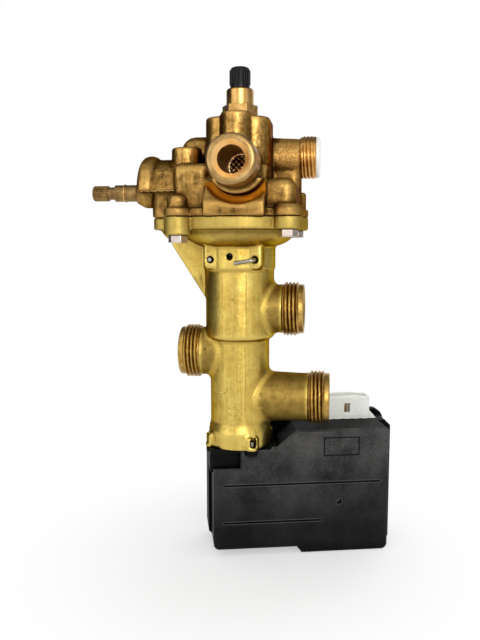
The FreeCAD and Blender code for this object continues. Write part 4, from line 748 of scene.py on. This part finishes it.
def threaded_brass(name, light, dark, grime, roughness):
    """Used pipe thread: bright crests, and roots darkened by dirt and painted shade."""
    material, tree, shader, place = new_material(name)
    tone = noise(tree, place, scale=320, detail=5.0, roughness=0.65)
    colour = ramp(tree, tone, 0.36, dark, 0.64, light)
    # Painted shade and dirt in the thread's roots
    root = rising(tree, attribute(tree, "hollow"), 0.56, 0.78, 0.95)
    tree.links.new(mix(tree, root, colour, grime), shader.inputs["Base Color"])
    shader.inputs["Metallic"].default_value = 1.0
    tree.links.new(uneven_roughness(tree, tone, roughness, THREAD_SPREAD), shader.inputs["Roughness"])
    grain = noise(tree, place, scale=1100, detail=3.0, roughness=0.6)
    tree.links.new(bump(tree, grain, strength=0.2, distance=0.08 * MM), shader.inputs["Normal"])
    return material


def height_share_with_shaded_tops(tree, place):
    """Share of lighter grey, which grows with height and is 0 where a face looks up, as painted shade on top
    faces.
    """
    rise = span(tree, upward_part(tree, place), LEAST_LIGHTENING, 1.0, LIGHTENING_LOW, LIGHTENING_HIGH)
    facing = upward_part(tree, place.node.outputs["Normal"])
    return combine(tree, "MULTIPLY", rise, falling(tree, facing, TOP_SHADE_START, TOP_SHADE_FULL, 1.0))


def moulded_plastic(name, base, scuffed_and_lit, roughness, grain, sheen, edge_reach=PLASTIC_EDGE_REACH, graded_with_shaded_tops=False):
    """Moulded plastic: grain, scuffs, edges lightened as wear and painted highlight, and painted shade in
    corners. A graded one is lighter towards the top, with painted shade on faces that look up.
    """
    material, tree, shader, place = new_material(name)
    clouds = noise(tree, place, scale=30, detail=6.0, roughness=0.65)
    specks = noise(tree, place, scale=900, detail=4.0, roughness=0.7)
    share = ramp(tree, clouds, 0.36, grey(0.1), 0.68, grey(0.9))
    share = combine(tree, "ADD", share, rising(tree, specks, 0.5, 0.72, 0.35))
    # Lighter grey towards the top, and painted shade on faces that look up
    if graded_with_shaded_tops:
        share = combine(tree, "MULTIPLY", share, height_share_with_shaded_tops(tree, place))
    # Edges lightened to the scuffed grey, partly wear and partly painted highlight
    edges = falling(tree, openness(tree, edge_reach, inside=True), 0.5, 0.85, 0.9)
    # Painted shade: darker where the surface is closed in
    corners = falling(tree, openness(tree, PLASTIC_SHADE_REACH), 0.4, 0.9, 1.0)
    corner_shade = tuple(PLASTIC_SHADE_LEVEL * level for level in base)
    colour = mix(tree, share, base, scuffed_and_lit)
    colour = mix(tree, edges, colour, scuffed_and_lit)
    colour = mix(tree, corners, colour, corner_shade)
    tree.links.new(colour, shader.inputs["Base Color"])
    shader.inputs["Specular IOR Level"].default_value = sheen
    tree.links.new(uneven_roughness(tree, clouds, roughness, PLASTIC_SPREAD), shader.inputs["Roughness"])
    fine = noise(tree, place, scale=2600, detail=2.0, roughness=0.6)
    tree.links.new(bump(tree, fine, grain, distance=0.1 * MM), shader.inputs["Normal"])
    return material


def nylon(name):
    """White nylon, which lets a little light in."""
    material, tree, shader, place = new_material(name)
    tone = noise(tree, place, scale=180, detail=3.0, roughness=0.5)
    colour = ramp(tree, tone, 0.3, srgb(226, 227, 218), 0.7, srgb(238, 239, 232))
    tree.links.new(colour, shader.inputs["Base Color"])
    shader.inputs["Roughness"].default_value = 0.38
    shader.inputs["Subsurface Weight"].default_value = 0.12
    shader.inputs["Subsurface Radius"].default_value = (1.0, 1.0, 0.9)
    shader.inputs["Subsurface Scale"].default_value = 1.2 * MM
    grain = noise(tree, place, scale=1200, detail=2.0, roughness=0.5)
    tree.links.new(bump(tree, grain, strength=0.1, distance=0.06 * MM), shader.inputs["Normal"])
    return material


# Tones: hollow is painted shade in hollows; grime is grime and painted shade in corners and pits; machined is
# the cut's tone, with painted shade and warm reflection in it
YELLOW_TONES = CastTones(
    light=srgb(222, 196, 106), middle=srgb(200, 168, 78), dark=srgb(146, 114, 44), hollow=srgb(190, 160, 78),
    grime=srgb(70, 50, 12), machined=srgb(206, 160, 84), patina=srgb(154, 127, 62))
BRONZE_TONES = CastTones(
    light=srgb(208, 166, 93), middle=srgb(166, 124, 64), dark=srgb(100, 73, 32), hollow=srgb(96, 67, 28),
    grime=srgb(54, 37, 13), machined=srgb(158, 92, 14), patina=srgb(134, 99, 48))
YELLOW_BRASS = cast_brass("cast_yellow_brass", YELLOW_TONES, roughness=0.32, staining=0.35, grain=0.3)
BRONZE = cast_brass("cast_bronze", BRONZE_TONES, roughness=0.32, staining=0.9, grain=0.8)
TURNED_BRASS = turned_metal("turned_brass", srgb(214, 172, 104), srgb(182, 138, 76), 0.28)
DULL_BRASS = turned_metal("dull_brass", srgb(160, 128, 78), srgb(112, 86, 48), 0.38)
NOSE_BRASS = turned_metal("nose_brass", srgb(186, 152, 100), srgb(156, 122, 72), 0.3, shade_and_soiling=0.2)
# Lit copies of the nose's brass: the coned mouth and the bore are painted lighter, as painted reflection and
# light that the deep bore doesn't get
LIT_MOUTH_BRASS = turned_metal("lit_mouth_brass", srgb(250, 212, 146), srgb(236, 188, 116), 0.36, shade_and_soiling=0.0)
LIT_BORE_BRASS = turned_metal("lit_bore_brass", srgb(224, 186, 110), srgb(190, 150, 78), 0.36, shade_and_soiling=0.0)
THREAD_BRASS = threaded_brass("thread_brass", srgb(200, 164, 88), srgb(158, 124, 60), srgb(80, 56, 21), 0.34)
OUTLET_BRASS = threaded_brass("outlet_brass", srgb(222, 170, 94), srgb(190, 136, 68), srgb(112, 72, 28), 0.28)
STEEL = turned_metal("zinc_plated_steel", srgb(226, 214, 204), srgb(190, 172, 160), 0.3)
WIRE_STEEL = turned_metal("wire_steel", srgb(186, 184, 178), srgb(142, 138, 128), 0.28)
MESH_STEEL = turned_metal("mesh_steel", srgb(244, 230, 206), srgb(200, 170, 126), 0.2, shade_and_soiling=0.0)
BLACK_PLASTIC = moulded_plastic(
    "black_plastic", srgb(12, 12, 12), srgb(84, 83, 82), roughness=0.5, grain=0.35, sheen=0.06, graded_with_shaded_tops=True)
# Painted shade: a darker copy of the black plastic for the housing, which lies in shade
SHADED_BLACK_HOUSING = moulded_plastic(
    "shaded_black_housing_plastic", srgb(5, 5, 5), srgb(24, 23, 22), roughness=0.5, grain=0.3, sheen=0.04)
BLACK_KNOB = moulded_plastic(
    "black_knob_plastic", srgb(2, 2, 2), srgb(32, 30, 28), roughness=0.25, grain=0.12, sheen=0.16,
    edge_reach=KNOB_EDGE_REACH)
BLACK_LINE = moulded_plastic(
    "black_line_plastic", srgb(6, 6, 6), srgb(14, 14, 14), roughness=0.5, grain=0.1, sheen=0.05)
ACETAL = moulded_plastic(
    "cream_acetal", srgb(206, 200, 184), srgb(190, 182, 165), roughness=0.45, grain=0.1, sheen=0.5)
RUBBER = moulded_plastic(
    "black_rubber", srgb(32, 32, 33), srgb(50, 50, 50), roughness=0.7, grain=0.25, sheen=0.4)
NYLON = nylon("white_nylon")


# Castings

def about_axis(points, centre, along):
    """Distance of points along an axis, and their spokes, which lead from the axis to them."""
    offset = points - np.array(centre)
    distance = offset @ np.array(along)
    return distance, offset - np.outer(distance, np.array(along))


def sink_thread(points, name, depth, end_band):
    """Draws a casting in under a turned end, which covers it."""
    centre, along, radius, half = mount_axis(name)
    distance, spokes = about_axis(points, centre, along)
    reach = np.linalg.norm(spokes, axis=1)
    near = (distance > -half - THREAD_SPARE) & (reach < radius + THREAD_SPARE)
    outside = near & (reach > radius - depth - THREAD_WALL_SPARE)
    inside = near & ~outside & (reach > 0)
    wanted = reach.copy()
    wanted[outside] = radius - depth - SUNK
    wanted[inside] = reach[inside] + SUNK / 2
    held = np.where(near, np.minimum(distance, half + end_band - SUNK), distance)
    safe = np.where(reach > 0, reach, 1.0)
    points[:] = np.array(centre) + np.outer(held, np.array(along)) + spokes * (wanted / safe)[:, None]


def relieve_seat(points):
    """Lifts the lower seat off the seal that closes on it, by what the cast skin adds."""
    reach = np.hypot(points[:, 0] - BARREL_X, points[:, 1])
    seat = (np.abs(points[:, 2] - LOWER_SEAT) < LOWER_SEAT_SPARE) & (reach < LOWER_SEAT_REACH)
    points[seat, 2] += LOWER_SEAT_RELIEF


def store(mesh, name, values, domain="POINT"):
    """Stores a value for each point or face, which a material reads by its name."""
    layer = mesh.attributes.new(name, "FLOAT", domain)
    layer.data.foreach_set("value", values.astype(np.float32))


def mark_hollows(mesh, steps, full_depth):
    """Stores how far each point lies in a hollow, 0.5 being flat, for painted shade and grime in hollows and
    for rubbed edges painted lighter as wear and highlight.
    """
    points = points_of(mesh)
    edges = values_of(mesh.edges, "vertices", 2, np.int64)
    normals = values_of(mesh.vertices, "normal", 3)
    count = np.bincount(edges.reshape(-1), minlength=len(points))[:, None]
    soft = points.copy()
    for step in range(steps):
        total = np.zeros_like(soft)
        np.add.at(total, edges[:, 0], soft[edges[:, 1]])
        np.add.at(total, edges[:, 1], soft[edges[:, 0]])
        soft = total / np.maximum(count, 1)
    depth = np.einsum("ij,ij->i", soft - points, normals)
    store(mesh, "hollow", np.clip(0.5 + depth / full_depth, 0, 1))


def mark_scallop(mesh):
    """Stores the faces where the cutter cleared the apron round the inlet's nose."""
    nose = mount_axis("inlet_spigot")[0]
    middles = values_of(mesh.polygons, "center", 3)
    reach = np.hypot(middles[:, 0] - nose.x, middles[:, 2] - nose.z)
    cut = (reach > NOSE_COLLAR_RADIUS + SCALLOP_SPARE) & (reach < SCALLOP_RADIUS + SCALLOP_SPARE)
    cut &= (middles[:, 2] < nose.z) & (middles[:, 1] < SCALLOP_BACK + SCALLOP_SPARE)
    store(mesh, "machined", cut.astype(float), "FACE")


def outlet_sand_and_light(points):
    """Share of sandy, paler skin, partly painted light, which is full on the neck of the outlet and fades
    towards the column.
    """
    centre, along, radius, half = mount_axis("outlet_thread")
    distance, spokes = about_axis(points, centre, along)
    full = np.clip((distance + half + OUTLET_NECK) / OUTLET_NECK_FADE, 0, 1)
    return np.where(np.linalg.norm(spokes, axis=1) < radius + OUTLET_SKIN, full, 0)


def mark_necks(mesh):
    """Stores the sandy skin of the rims and the outlet, painted paler partly as light, and the duller skin of
    the necks, bowl and seam.
    """
    points = points_of(mesh)
    height = points[:, 2]
    wall = np.where(height > BARREL_STEP, UPPER_BARREL_RADIUS, BARREL_RADIUS)
    away = np.hypot(points[:, 0] - BARREL_X, points[:, 1]) - wall
    among = (height > NECKS_LOW) & (height < NECKS_HIGH)
    rise = np.clip((away - RIM_START) / (RIM_FULL - RIM_START), 0, 1)
    dull = np.clip((away - RIM_FULL) / (RIM_END - RIM_FULL), 0, 1)
    store(mesh, "rim", np.maximum((rise - dull) * among, outlet_sand_and_light(points)))
    for port in PORTS:
        centre, along, radius, half = mount_axis(port + "_thread")
        before = -half - about_axis(points, centre, along)[0]
        beside = np.abs(height - centre.z) < radius
        dull = np.where(beside, np.minimum(dull, np.clip(before / NECK_CLEAR, 0, 1)), dull)
    bowl = np.interp(height, [BOWL_LOW, FLANGE_LOW], [0, FLANGE_PATINA])
    bronze = BRONZE_PATINA * np.clip(1 - (height - SEAM) / BRONZE_PATINA_RISE, 0, 1)
    store(mesh, "patina", np.where(height > SEAM, bronze, dull * among + bowl))


def mark_casting(mesh, hollow_steps):
    mark_hollows(mesh, hollow_steps, HOLLOW_DEPTH)
    mark_scallop(mesh)
    mark_necks(mesh)


def split_long_edges(work):
    """Splits long edges, so that what is stored at the points of an edge doesn't spread over flat faces."""
    for step in range(CAST_SPLITS):
        long_edges = [edge for edge in work.edges if edge.calc_length() > CAST_LONG_EDGE]
        bmesh.ops.subdivide_edges(work, edges=long_edges, cuts=1)
        bmesh.ops.triangulate(work, faces=work.faces)


def casting(node, name, threads, rounding_steps):
    """Copy of a casting with a cast skin. A thread to be covered is a mount, its depth and its end band."""
    piece = cad_copy(node, name)
    points = points_of(piece.data)
    for mount, depth, end_band in threads:
        sink_thread(points, mount, depth, end_band)
    relieve_seat(points)
    move_points(piece.data, points)
    skin = piece.modifiers.new("cast skin", "REMESH")
    skin.mode = "VOXEL"
    skin.voxel_size = CAST_VOXEL
    soften = piece.modifiers.new("cast rounding", "SMOOTH")
    soften.iterations = rounding_steps
    soften.factor = CAST_ROUNDING_SHARE
    fewer = piece.modifiers.new("fewer faces", "DECIMATE")
    fewer.ratio = CAST_KEPT_SHARE
    bake_modifiers(piece)
    edit(piece.data, split_long_edges)
    piece.data.shade_smooth()
    mark_casting(piece.data, HOLLOW_STEPS)
    return piece


def diverter_casting():
    threads = [(port + "_thread", THREAD_DEPTH, PORT_END_BAND) for port in PORTS]
    piece = casting("diverter_body", "diverter_casting", threads, CAST_ROUNDING_STEPS)
    dress(piece, "valve_body", YELLOW_BRASS, "yellow_brass", "diverter_body")


def water_casting():
    threads = [("inlet_spigot", 0.0, NOSE_CHAMFER / 2), ("outlet_thread", OUTLET_THREAD_DEPTH, 0.0)]
    piece = casting("water_section", "water_casting", threads, WATER_ROUNDING_STEPS)
    dress(piece, "valve_body", BRONZE, "bronze", "water_section")


def port_end(port):
    """Threaded end of a port with its sealing ring and the start of its bore."""
    centre, along, radius, half = mount_axis(port + "_thread")
    end = half + PORT_END_BAND
    inner = end - PORT_LINING
    rows = [(-half - SUNK, plain(radius - THREAD_DEPTH - SUNK / 2))]
    rows += thread_rows(-half, half, radius, THREAD_DEPTH, THREAD_PITCH)
    rows += [
        (half + EDGE, plain(PORT_END_RADIUS)),
        (end - EDGE, plain(PORT_END_RADIUS)),
        (end, plain(PORT_END_RADIUS - EDGE)),
        (end, plain(PORT_BORE_RADIUS + PORT_MOUTH_CHAMFER)),
        (end - PORT_MOUTH_CHAMFER, plain(PORT_BORE_RADIUS)),
        (inner, plain(PORT_BORE_RADIUS)),
        (inner, plain(PORT_BORE_RADIUS + SUNK)),
    ]
    piece = mesh_piece(port + "_port_end", [ring_shape(centre, along, rows)])
    mark_hollows(piece.data, THREAD_HOLLOW_STEPS, THREAD_HOLLOW_DEPTH)
    dress(piece, "valve_body", THREAD_BRASS, "yellow_brass")


def inlet_nose():
    """Turned nose of the inlet: its round rim, the coned mouth and the lining of the bore."""
    centre, along, radius, half = mount_axis("inlet_spigot")
    end = half + NOSE_CHAMFER / 2
    mouth = end - NOSE_MOUTH_DEPTH
    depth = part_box("inlet_strainer")[0].y - (centre.y - end)
    rows = [(-end, plain(NOSE_MOUTH_RADIUS)), (-end, plain(radius))]
    for step in range(NOSE_ROUNDING_STEPS + 1):
        turn = math.pi / 2 * step / NOSE_ROUNDING_STEPS
        rows.append((end - NOSE_ROUNDING * (1 - math.sin(turn)),
                     plain(radius - NOSE_ROUNDING * (1 - math.cos(turn)))))
    rows.append((end, plain(NOSE_MOUTH_RADIUS)))
    rim = mesh_piece("inlet_nose", [ring_shape(centre, along, rows)])
    dress(rim, "valve_body", NOSE_BRASS, "bronze")
    # The mouth and the lining wear the lighter copies of the brass, painted light
    rows = [(end, plain(NOSE_MOUTH_RADIUS)), (mouth, plain(NOSE_BORE_RADIUS)),
            (mouth, plain(NOSE_BORE_RADIUS + NOSE_WALL))]
    cone = mesh_piece("inlet_mouth", [ring_shape(centre, along, rows)])
    dress(cone, "valve_body", LIT_MOUTH_BRASS, "bronze")
    rows = [(mouth, plain(NOSE_BORE_RADIUS + NOSE_WALL)), (mouth, plain(NOSE_BORE_RADIUS)),
            (end - depth, plain(NOSE_BORE_RADIUS)), (end - depth, plain(NOSE_BORE_RADIUS + NOSE_WALL))]
    lining = mesh_piece("inlet_lining", [ring_shape(centre, along, rows)])
    dress(lining, "valve_body", LIT_BORE_BRASS, "bronze")


def strainer():
    """Woven wire disc in a rim, across the inlet's bore."""
    low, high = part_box("inlet_strainer")
    radius = (high.x - low.x) / 2
    centre = Vector(((low.x + high.x) / 2, low.y + WEAVE_RIM, (low.z + high.z) / 2))
    shapes = [ring_shape(centre, (0, 1, 0), [
        (-WEAVE_RIM, plain(radius - WEAVE_RIM)), (-WEAVE_RIM, plain(radius)),
        (WEAVE_RIM, plain(radius)), (WEAVE_RIM, plain(radius - WEAVE_RIM))])]
    ways = [Vector((1, 0, 1)).normalized(), Vector((-1, 0, 1)).normalized()]
    count = int(radius / WEAVE_SPACING)
    for way, across, sign in ((ways[0], ways[1], 1), (ways[1], ways[0], -1)):
        for index in range(-count, count + 1):
            offset = index * WEAVE_SPACING
            reach = math.sqrt(radius ** 2 - offset ** 2)
            steps = max(WEAVE_LEAST_STEPS, int(2 * reach / WEAVE_SPACING * WEAVE_STEPS_PER_CELL))
            points = []
            for step in range(steps + 1):
                distance = -reach + 2 * reach * step / steps
                wave = sign * math.cos(math.pi * (distance / WEAVE_SPACING + index))
                points.append(centre + across * offset + way * distance + Vector((0, wave * WEAVE_WIRE, 0)))
            shapes.append(tube_shape(points, WEAVE_WIRE, WEAVE_WIRE_SIDES))
    piece = mesh_piece("woven_strainer", shapes, WIRE_SHARP)
    dress(piece, "valve_body", MESH_STEEL, "steel", "inlet_strainer")


def outlet_thread():
    """Threaded end of the outlet with its bore."""
    centre, along, radius, half = mount_axis("outlet_thread")
    root = radius - OUTLET_THREAD_DEPTH
    rows = [(-half - SUNK, plain(root - SUNK / 2))]
    rows += thread_rows(-half, half - EDGE, radius, OUTLET_THREAD_DEPTH, THREAD_PITCH)
    rows += [
        (half, plain(root - EDGE)),
        (half, plain(OUTLET_BORE_RADIUS)),
        (-half - SUNK, plain(OUTLET_BORE_RADIUS)),
    ]
    piece = mesh_piece("outlet_thread_end", [ring_shape(centre, along, rows)])
    mark_hollows(piece.data, THREAD_HOLLOW_STEPS, THREAD_HOLLOW_DEPTH)
    dress(piece, "valve_body", OUTLET_BRASS, "bronze")


def mould_marks():
    """Parting line and small bumps that the mould left on the barrel."""
    shapes = []
    for radius, low, high in PARTING_SPANS:
        line = [round_barrel(PARTING_ANGLE, radius, low + (high - low) * step / PARTING_STEPS)[0]
                for step in range(PARTING_STEPS + 1)]
        shapes.append(tube_shape(line, PARTING_WIRE))
    for radius, dots in ((BARREL_RADIUS, LOWER_DOTS), (UPPER_BARREL_RADIUS, UPPER_DOTS)):
        for angle, height in dots:
            place, out = round_barrel(angle, radius - DOT_SUNK, height * MM)
            shapes.append(dome_shape(place, out, DOT_RADIUS, DOT_HEIGHT))
    piece = mesh_piece("mould_marks", shapes, WIRE_SHARP)
    mark_casting(piece.data, MARK_HOLLOW_STEPS)
    dress(piece, "valve_body", YELLOW_BRASS, "yellow_brass")


def hood_flash():
    """Ragged line of flash along the lower edge of the tap's hood."""
    front = TAP_AXIS_Y - HOOD_RADIUS
    line = []
    for step in range(FLASH_STEPS + 1):
        share = step / FLASH_STEPS
        x = HOOD_LEFT + (HOOD_RIGHT - HOOD_LEFT) * share
        wander = math.sin(FLASH_SLOW_WAVE * share) * math.cos(FLASH_QUICK_WAVE * share + FLASH_SHIFT)
        line.append(Vector((x, front + FLASH_WIRE / 2, TAP_AXIS_Z + FLASH_WANDER * wander)))
    piece = mesh_piece("hood_flash", [tube_shape(line, FLASH_WIRE)], WIRE_SHARP)
    dress(piece, "valve_body", TURNED_BRASS, "bronze")


diverter_casting()
water_casting()
for port in PORTS:
    port_end(port)
inlet_nose()
strainer()
outlet_thread()
mould_marks()
hood_flash()


# Solids that keep their form: node, body, material, slot and width of the rounded edges
ROUNDED_SOLIDS = [
    ("gland_nut", "valve_body", TURNED_BRASS, "bright_brass", 0.25 * MM),
    ("adjuster_knob", "adjuster", BLACK_KNOB, "black_plastic", 0.15 * MM),
    ("tap_spindle", "tap", DULL_BRASS, "bright_brass", 0.2 * MM),
    ("tap_circlip", "tap", TURNED_BRASS, "steel", 0.12 * MM),
    ("flange_bolts", "valve_body", STEEL, "steel", 0.3 * MM),
    ("foot_studs", "valve_body", WIRE_STEEL, "steel", 0.2 * MM),
    ("outlet_plug", "valve_body", NYLON, "white_plastic", 0.2 * MM),
    ("actuator_cover", "valve_body", BLACK_PLASTIC, "black_plastic", 0.5 * MM),
    ("actuator_housing", "valve_body", SHADED_BLACK_HOUSING, "black_plastic", 0.5 * MM),
    ("connector_housing", "valve_body", NYLON, "white_plastic", 0.25 * MM),
]
for node, body, material, slot, width in ROUNDED_SOLIDS:
    dress(rounded_copy(node, node + "_dressed", width), body, material, slot, node)


# Small moulded details of the actuator

def raised_bar(left, right, low, high, face, rise):
    """Bar on an upright face of the actuator, which stands out to the front."""
    corners = ((left, low), (right, low), (right, high), (left, high))
    outline = [in_actuator(x, face, z) for x, z in corners]
    return prism_shape(outline, actuator_way(0, -rise, 0))


def plate_outline():
    """Thin raised outline of an empty rectangle on the cover."""
    inner_low = PLATE_LOW + PLATE_LINE
    inner_high = PLATE_HIGH - PLATE_LINE
    bars = [
        (PLATE_LEFT, PLATE_RIGHT, PLATE_LOW, inner_low),
        (PLATE_LEFT, PLATE_RIGHT, inner_high, PLATE_HIGH),
        (PLATE_LEFT, PLATE_LEFT + PLATE_LINE, inner_low, inner_high),
        (PLATE_RIGHT - PLATE_LINE, PLATE_RIGHT, inner_low, inner_high),
    ]
    shapes = [raised_bar(*bar, COVER_FACE, PLATE_RISE) for bar in bars]
    dress(mesh_piece("plate_outline", shapes), "valve_body", BLACK_LINE, "black_plastic")


def connector_details():
    """Lip under the connector's top edge, ribs along its foot and the wedge beside it."""
    bars = [(CONNECTOR_LEFT, CONNECTOR_RIGHT, CONNECTOR_TOP - LIP_DROP, CONNECTOR_TOP)]
    spacing = (CONNECTOR_RIGHT - CONNECTOR_LEFT) / FOOT_RIB_COUNT
    half = spacing * FOOT_RIB_HALF_SHARE
    for index in range(FOOT_RIB_COUNT):
        middle = CONNECTOR_LEFT + spacing * (index + 0.5)
        bars.append((middle - half, middle + half, CONNECTOR_BASE, CONNECTOR_BASE + FOOT_RIB_HEIGHT))
    shapes = [raised_bar(*bar, CONNECTOR_FRONT, LIP_RISE) for bar in bars]
    wedge = [in_actuator(x, CONNECTOR_FRONT, z) for x, z in (
        (CONNECTOR_RIGHT, CONNECTOR_BASE), (CONNECTOR_RIGHT + WEDGE_REACH, CONNECTOR_BASE),
        (CONNECTOR_RIGHT, CONNECTOR_BASE + WEDGE_HEIGHT))]
    shapes.append(prism_shape(wedge, actuator_way(0, WEDGE_DEPTH, 0)))
    dress(mesh_piece("connector_details", shapes), "valve_body", NYLON, "white_plastic")


plate_outline()
connector_details()


# Soft pieces, which shorten as the valve moves, copied with meshes of their own

def soft_piece(node, body, material, slot):
    piece = cad_copy(node, node + "_soft")
    smooth_shading(piece.data, SOFT_SHARP)
    dress(piece, body, material, slot, node)
    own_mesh(piece)


soft_piece("return_spring", "valve_body", WIRE_STEEL, "steel")
soft_piece("diaphragm", "valve_body", RUBBER, "black_rubber")

# Inner pieces, the wire clip, the screws and the terminals, which show their solids as they are
PLAIN_FINISHES = {
    "retaining_clip": WIRE_STEEL, "seal_cartridge": ACETAL, "cartridge_rings": RUBBER,
    "upper_seat": TURNED_BRASS, "foot_bush": ACETAL, "bush_ring": RUBBER, "actuator_screws": STEEL,
    "gear_motor": STEEL, "end_switches": BLACK_PLASTIC, "connector_terminals": DULL_BRASS,
    "diverter_rod": STEEL, "lower_disc": TURNED_BRASS, "lower_disc_seal": RUBBER,
    "upper_disc": TURNED_BRASS, "upper_disc_seal": RUBBER, "lower_plate": STEEL, "upper_plate": STEEL,
    "guide_spindle": TURNED_BRASS, "rack_plunger": ACETAL, "drive_pinion": ACETAL,
    "adjuster_spindle": TURNED_BRASS, "throttle_plug": ACETAL, "tap_jumper": TURNED_BRASS,
}
for node, material in PLAIN_FINISHES.items():
    materials = NODES[node].data.materials
    materials.clear()
    materials.append(material)


# Camera, floor and light

def camera():
    angle = math.radians(CAMERA_AZIMUTH)
    lens = bpy.data.cameras.new("camera")
    lens.sensor_fit = "VERTICAL"
    lens.sensor_height = SENSOR
    lens.lens = SENSOR * FOCAL_PIXELS / IMAGE_HEIGHT
    lens.clip_start = CAMERA_NEAR
    viewer = bpy.data.objects.new("camera", lens)
    viewer.location = (BARREL_X + CAMERA_DISTANCE * math.sin(angle),
                       -CAMERA_DISTANCE * math.cos(angle), CAMERA_HEIGHT)
    viewer.rotation_euler = (math.radians(90 - CAMERA_PITCH), 0, angle)
    bpy.context.scene.collection.objects.link(viewer)
    bpy.context.scene.camera = viewer


def seen_directly(tree):
    """1 for rays from the camera, from a reflection or through a clear piece."""
    rays = tree.nodes.new("ShaderNodeLightPath")
    seen = rays.outputs["Is Camera Ray"]
    for kind in ("Is Glossy Ray", "Is Transmission Ray"):
        seen = combine(tree, "MAXIMUM", seen, rays.outputs[kind])
    return seen


def matt_material(name, level, roughness):
    """Grey material without a shine."""
    material, tree, shader, place = new_material(name)
    shader.inputs["Base Color"].default_value = (*grey(level), 1.0)
    shader.inputs["Roughness"].default_value = roughness
    shader.inputs["Specular IOR Level"].default_value = 0.0
    return material, tree, shader, place


def flat_board(name, width, height):
    half_width = width / 2
    half_height = height / 2
    mesh = bpy.data.meshes.new(name)
    mesh.from_pydata([(-half_width, -half_height, 0), (half_width, -half_height, 0),
                      (half_width, half_height, 0), (-half_width, half_height, 0)], [], [(0, 1, 2, 3)])
    board = link(name, mesh)
    board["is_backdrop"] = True
    return board


def aim(item, place, target):
    item.location = place
    item.rotation_euler = (Vector(target) - Vector(place)).to_track_quat("-Z", "Y").to_euler()


def floor():
    """Pale floor that holds the object's shadow and turns into the white background further out."""
    low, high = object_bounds()
    board = flat_board("floor", FLOOR_SIZE, FLOOR_SIZE)
    board.location = ((low[0] + high[0]) / 2, (low[1] + high[1]) / 2, low[2] - FLOOR_GAP)
    material, tree, shader, place = matt_material("pale_floor", FLOOR_LEVEL, FLOOR_ROUGHNESS)
    away = tree.nodes.new("ShaderNodeVectorMath")
    away.operation = "LENGTH"
    tree.links.new(place, away.inputs[0])
    fade = span(tree, away.outputs["Value"], FLOOR_LIFT, 1.0, FLOOR_NEAR, FLOOR_FAR, smooth=True)
    share = combine(tree, "MULTIPLY", fade, seen_directly(tree))
    white = tree.nodes.new("ShaderNodeEmission")
    blend = tree.nodes.new("ShaderNodeMixShader")
    tree.links.new(share, blend.inputs["Fac"])
    tree.links.new(shader.outputs["BSDF"], blend.inputs[1])
    tree.links.new(white.outputs["Emission"], blend.inputs[2])
    tree.links.new(blend.outputs["Shader"], tree.nodes["Material Output"].inputs["Surface"])
    board.data.materials.append(material)


def dark_card(name, place, width, height, level):
    """Dark board beside the object, which its metal mirrors along its sides and tops."""
    board = flat_board(name, width, height)
    aim(board, place, STUDIO_MIDDLE)
    board.visible_camera = False
    board.visible_diffuse = False
    board.visible_shadow = False
    board.data.materials.append(matt_material(name, level, CARD_ROUGHNESS)[0])


def area_light(name, place, size, power):
    lamp = bpy.data.lights.new(name, "AREA")
    lamp.size = size
    lamp.energy = power
    light = bpy.data.objects.new(name, lamp)
    aim(light, place, STUDIO_MIDDLE)
    bpy.context.scene.collection.objects.link(light)


def studio():
    world = bpy.data.worlds.new("studio")
    bpy.context.scene.world = world
    world.use_nodes = True
    tree = world.node_tree
    background = tree.nodes["Background"]
    background.inputs["Color"].default_value = (1, 1, 1, 1)
    level = span(tree, seen_directly(tree), WORLD_LEVEL, 1.0)
    tree.links.new(level, background.inputs["Strength"])
    for lamp in LAMPS:
        area_light(*lamp)
    for card in CARDS:
        dark_card(*card)
    bpy.context.scene.view_settings.view_transform = "Standard"


camera()
floor()
studio()
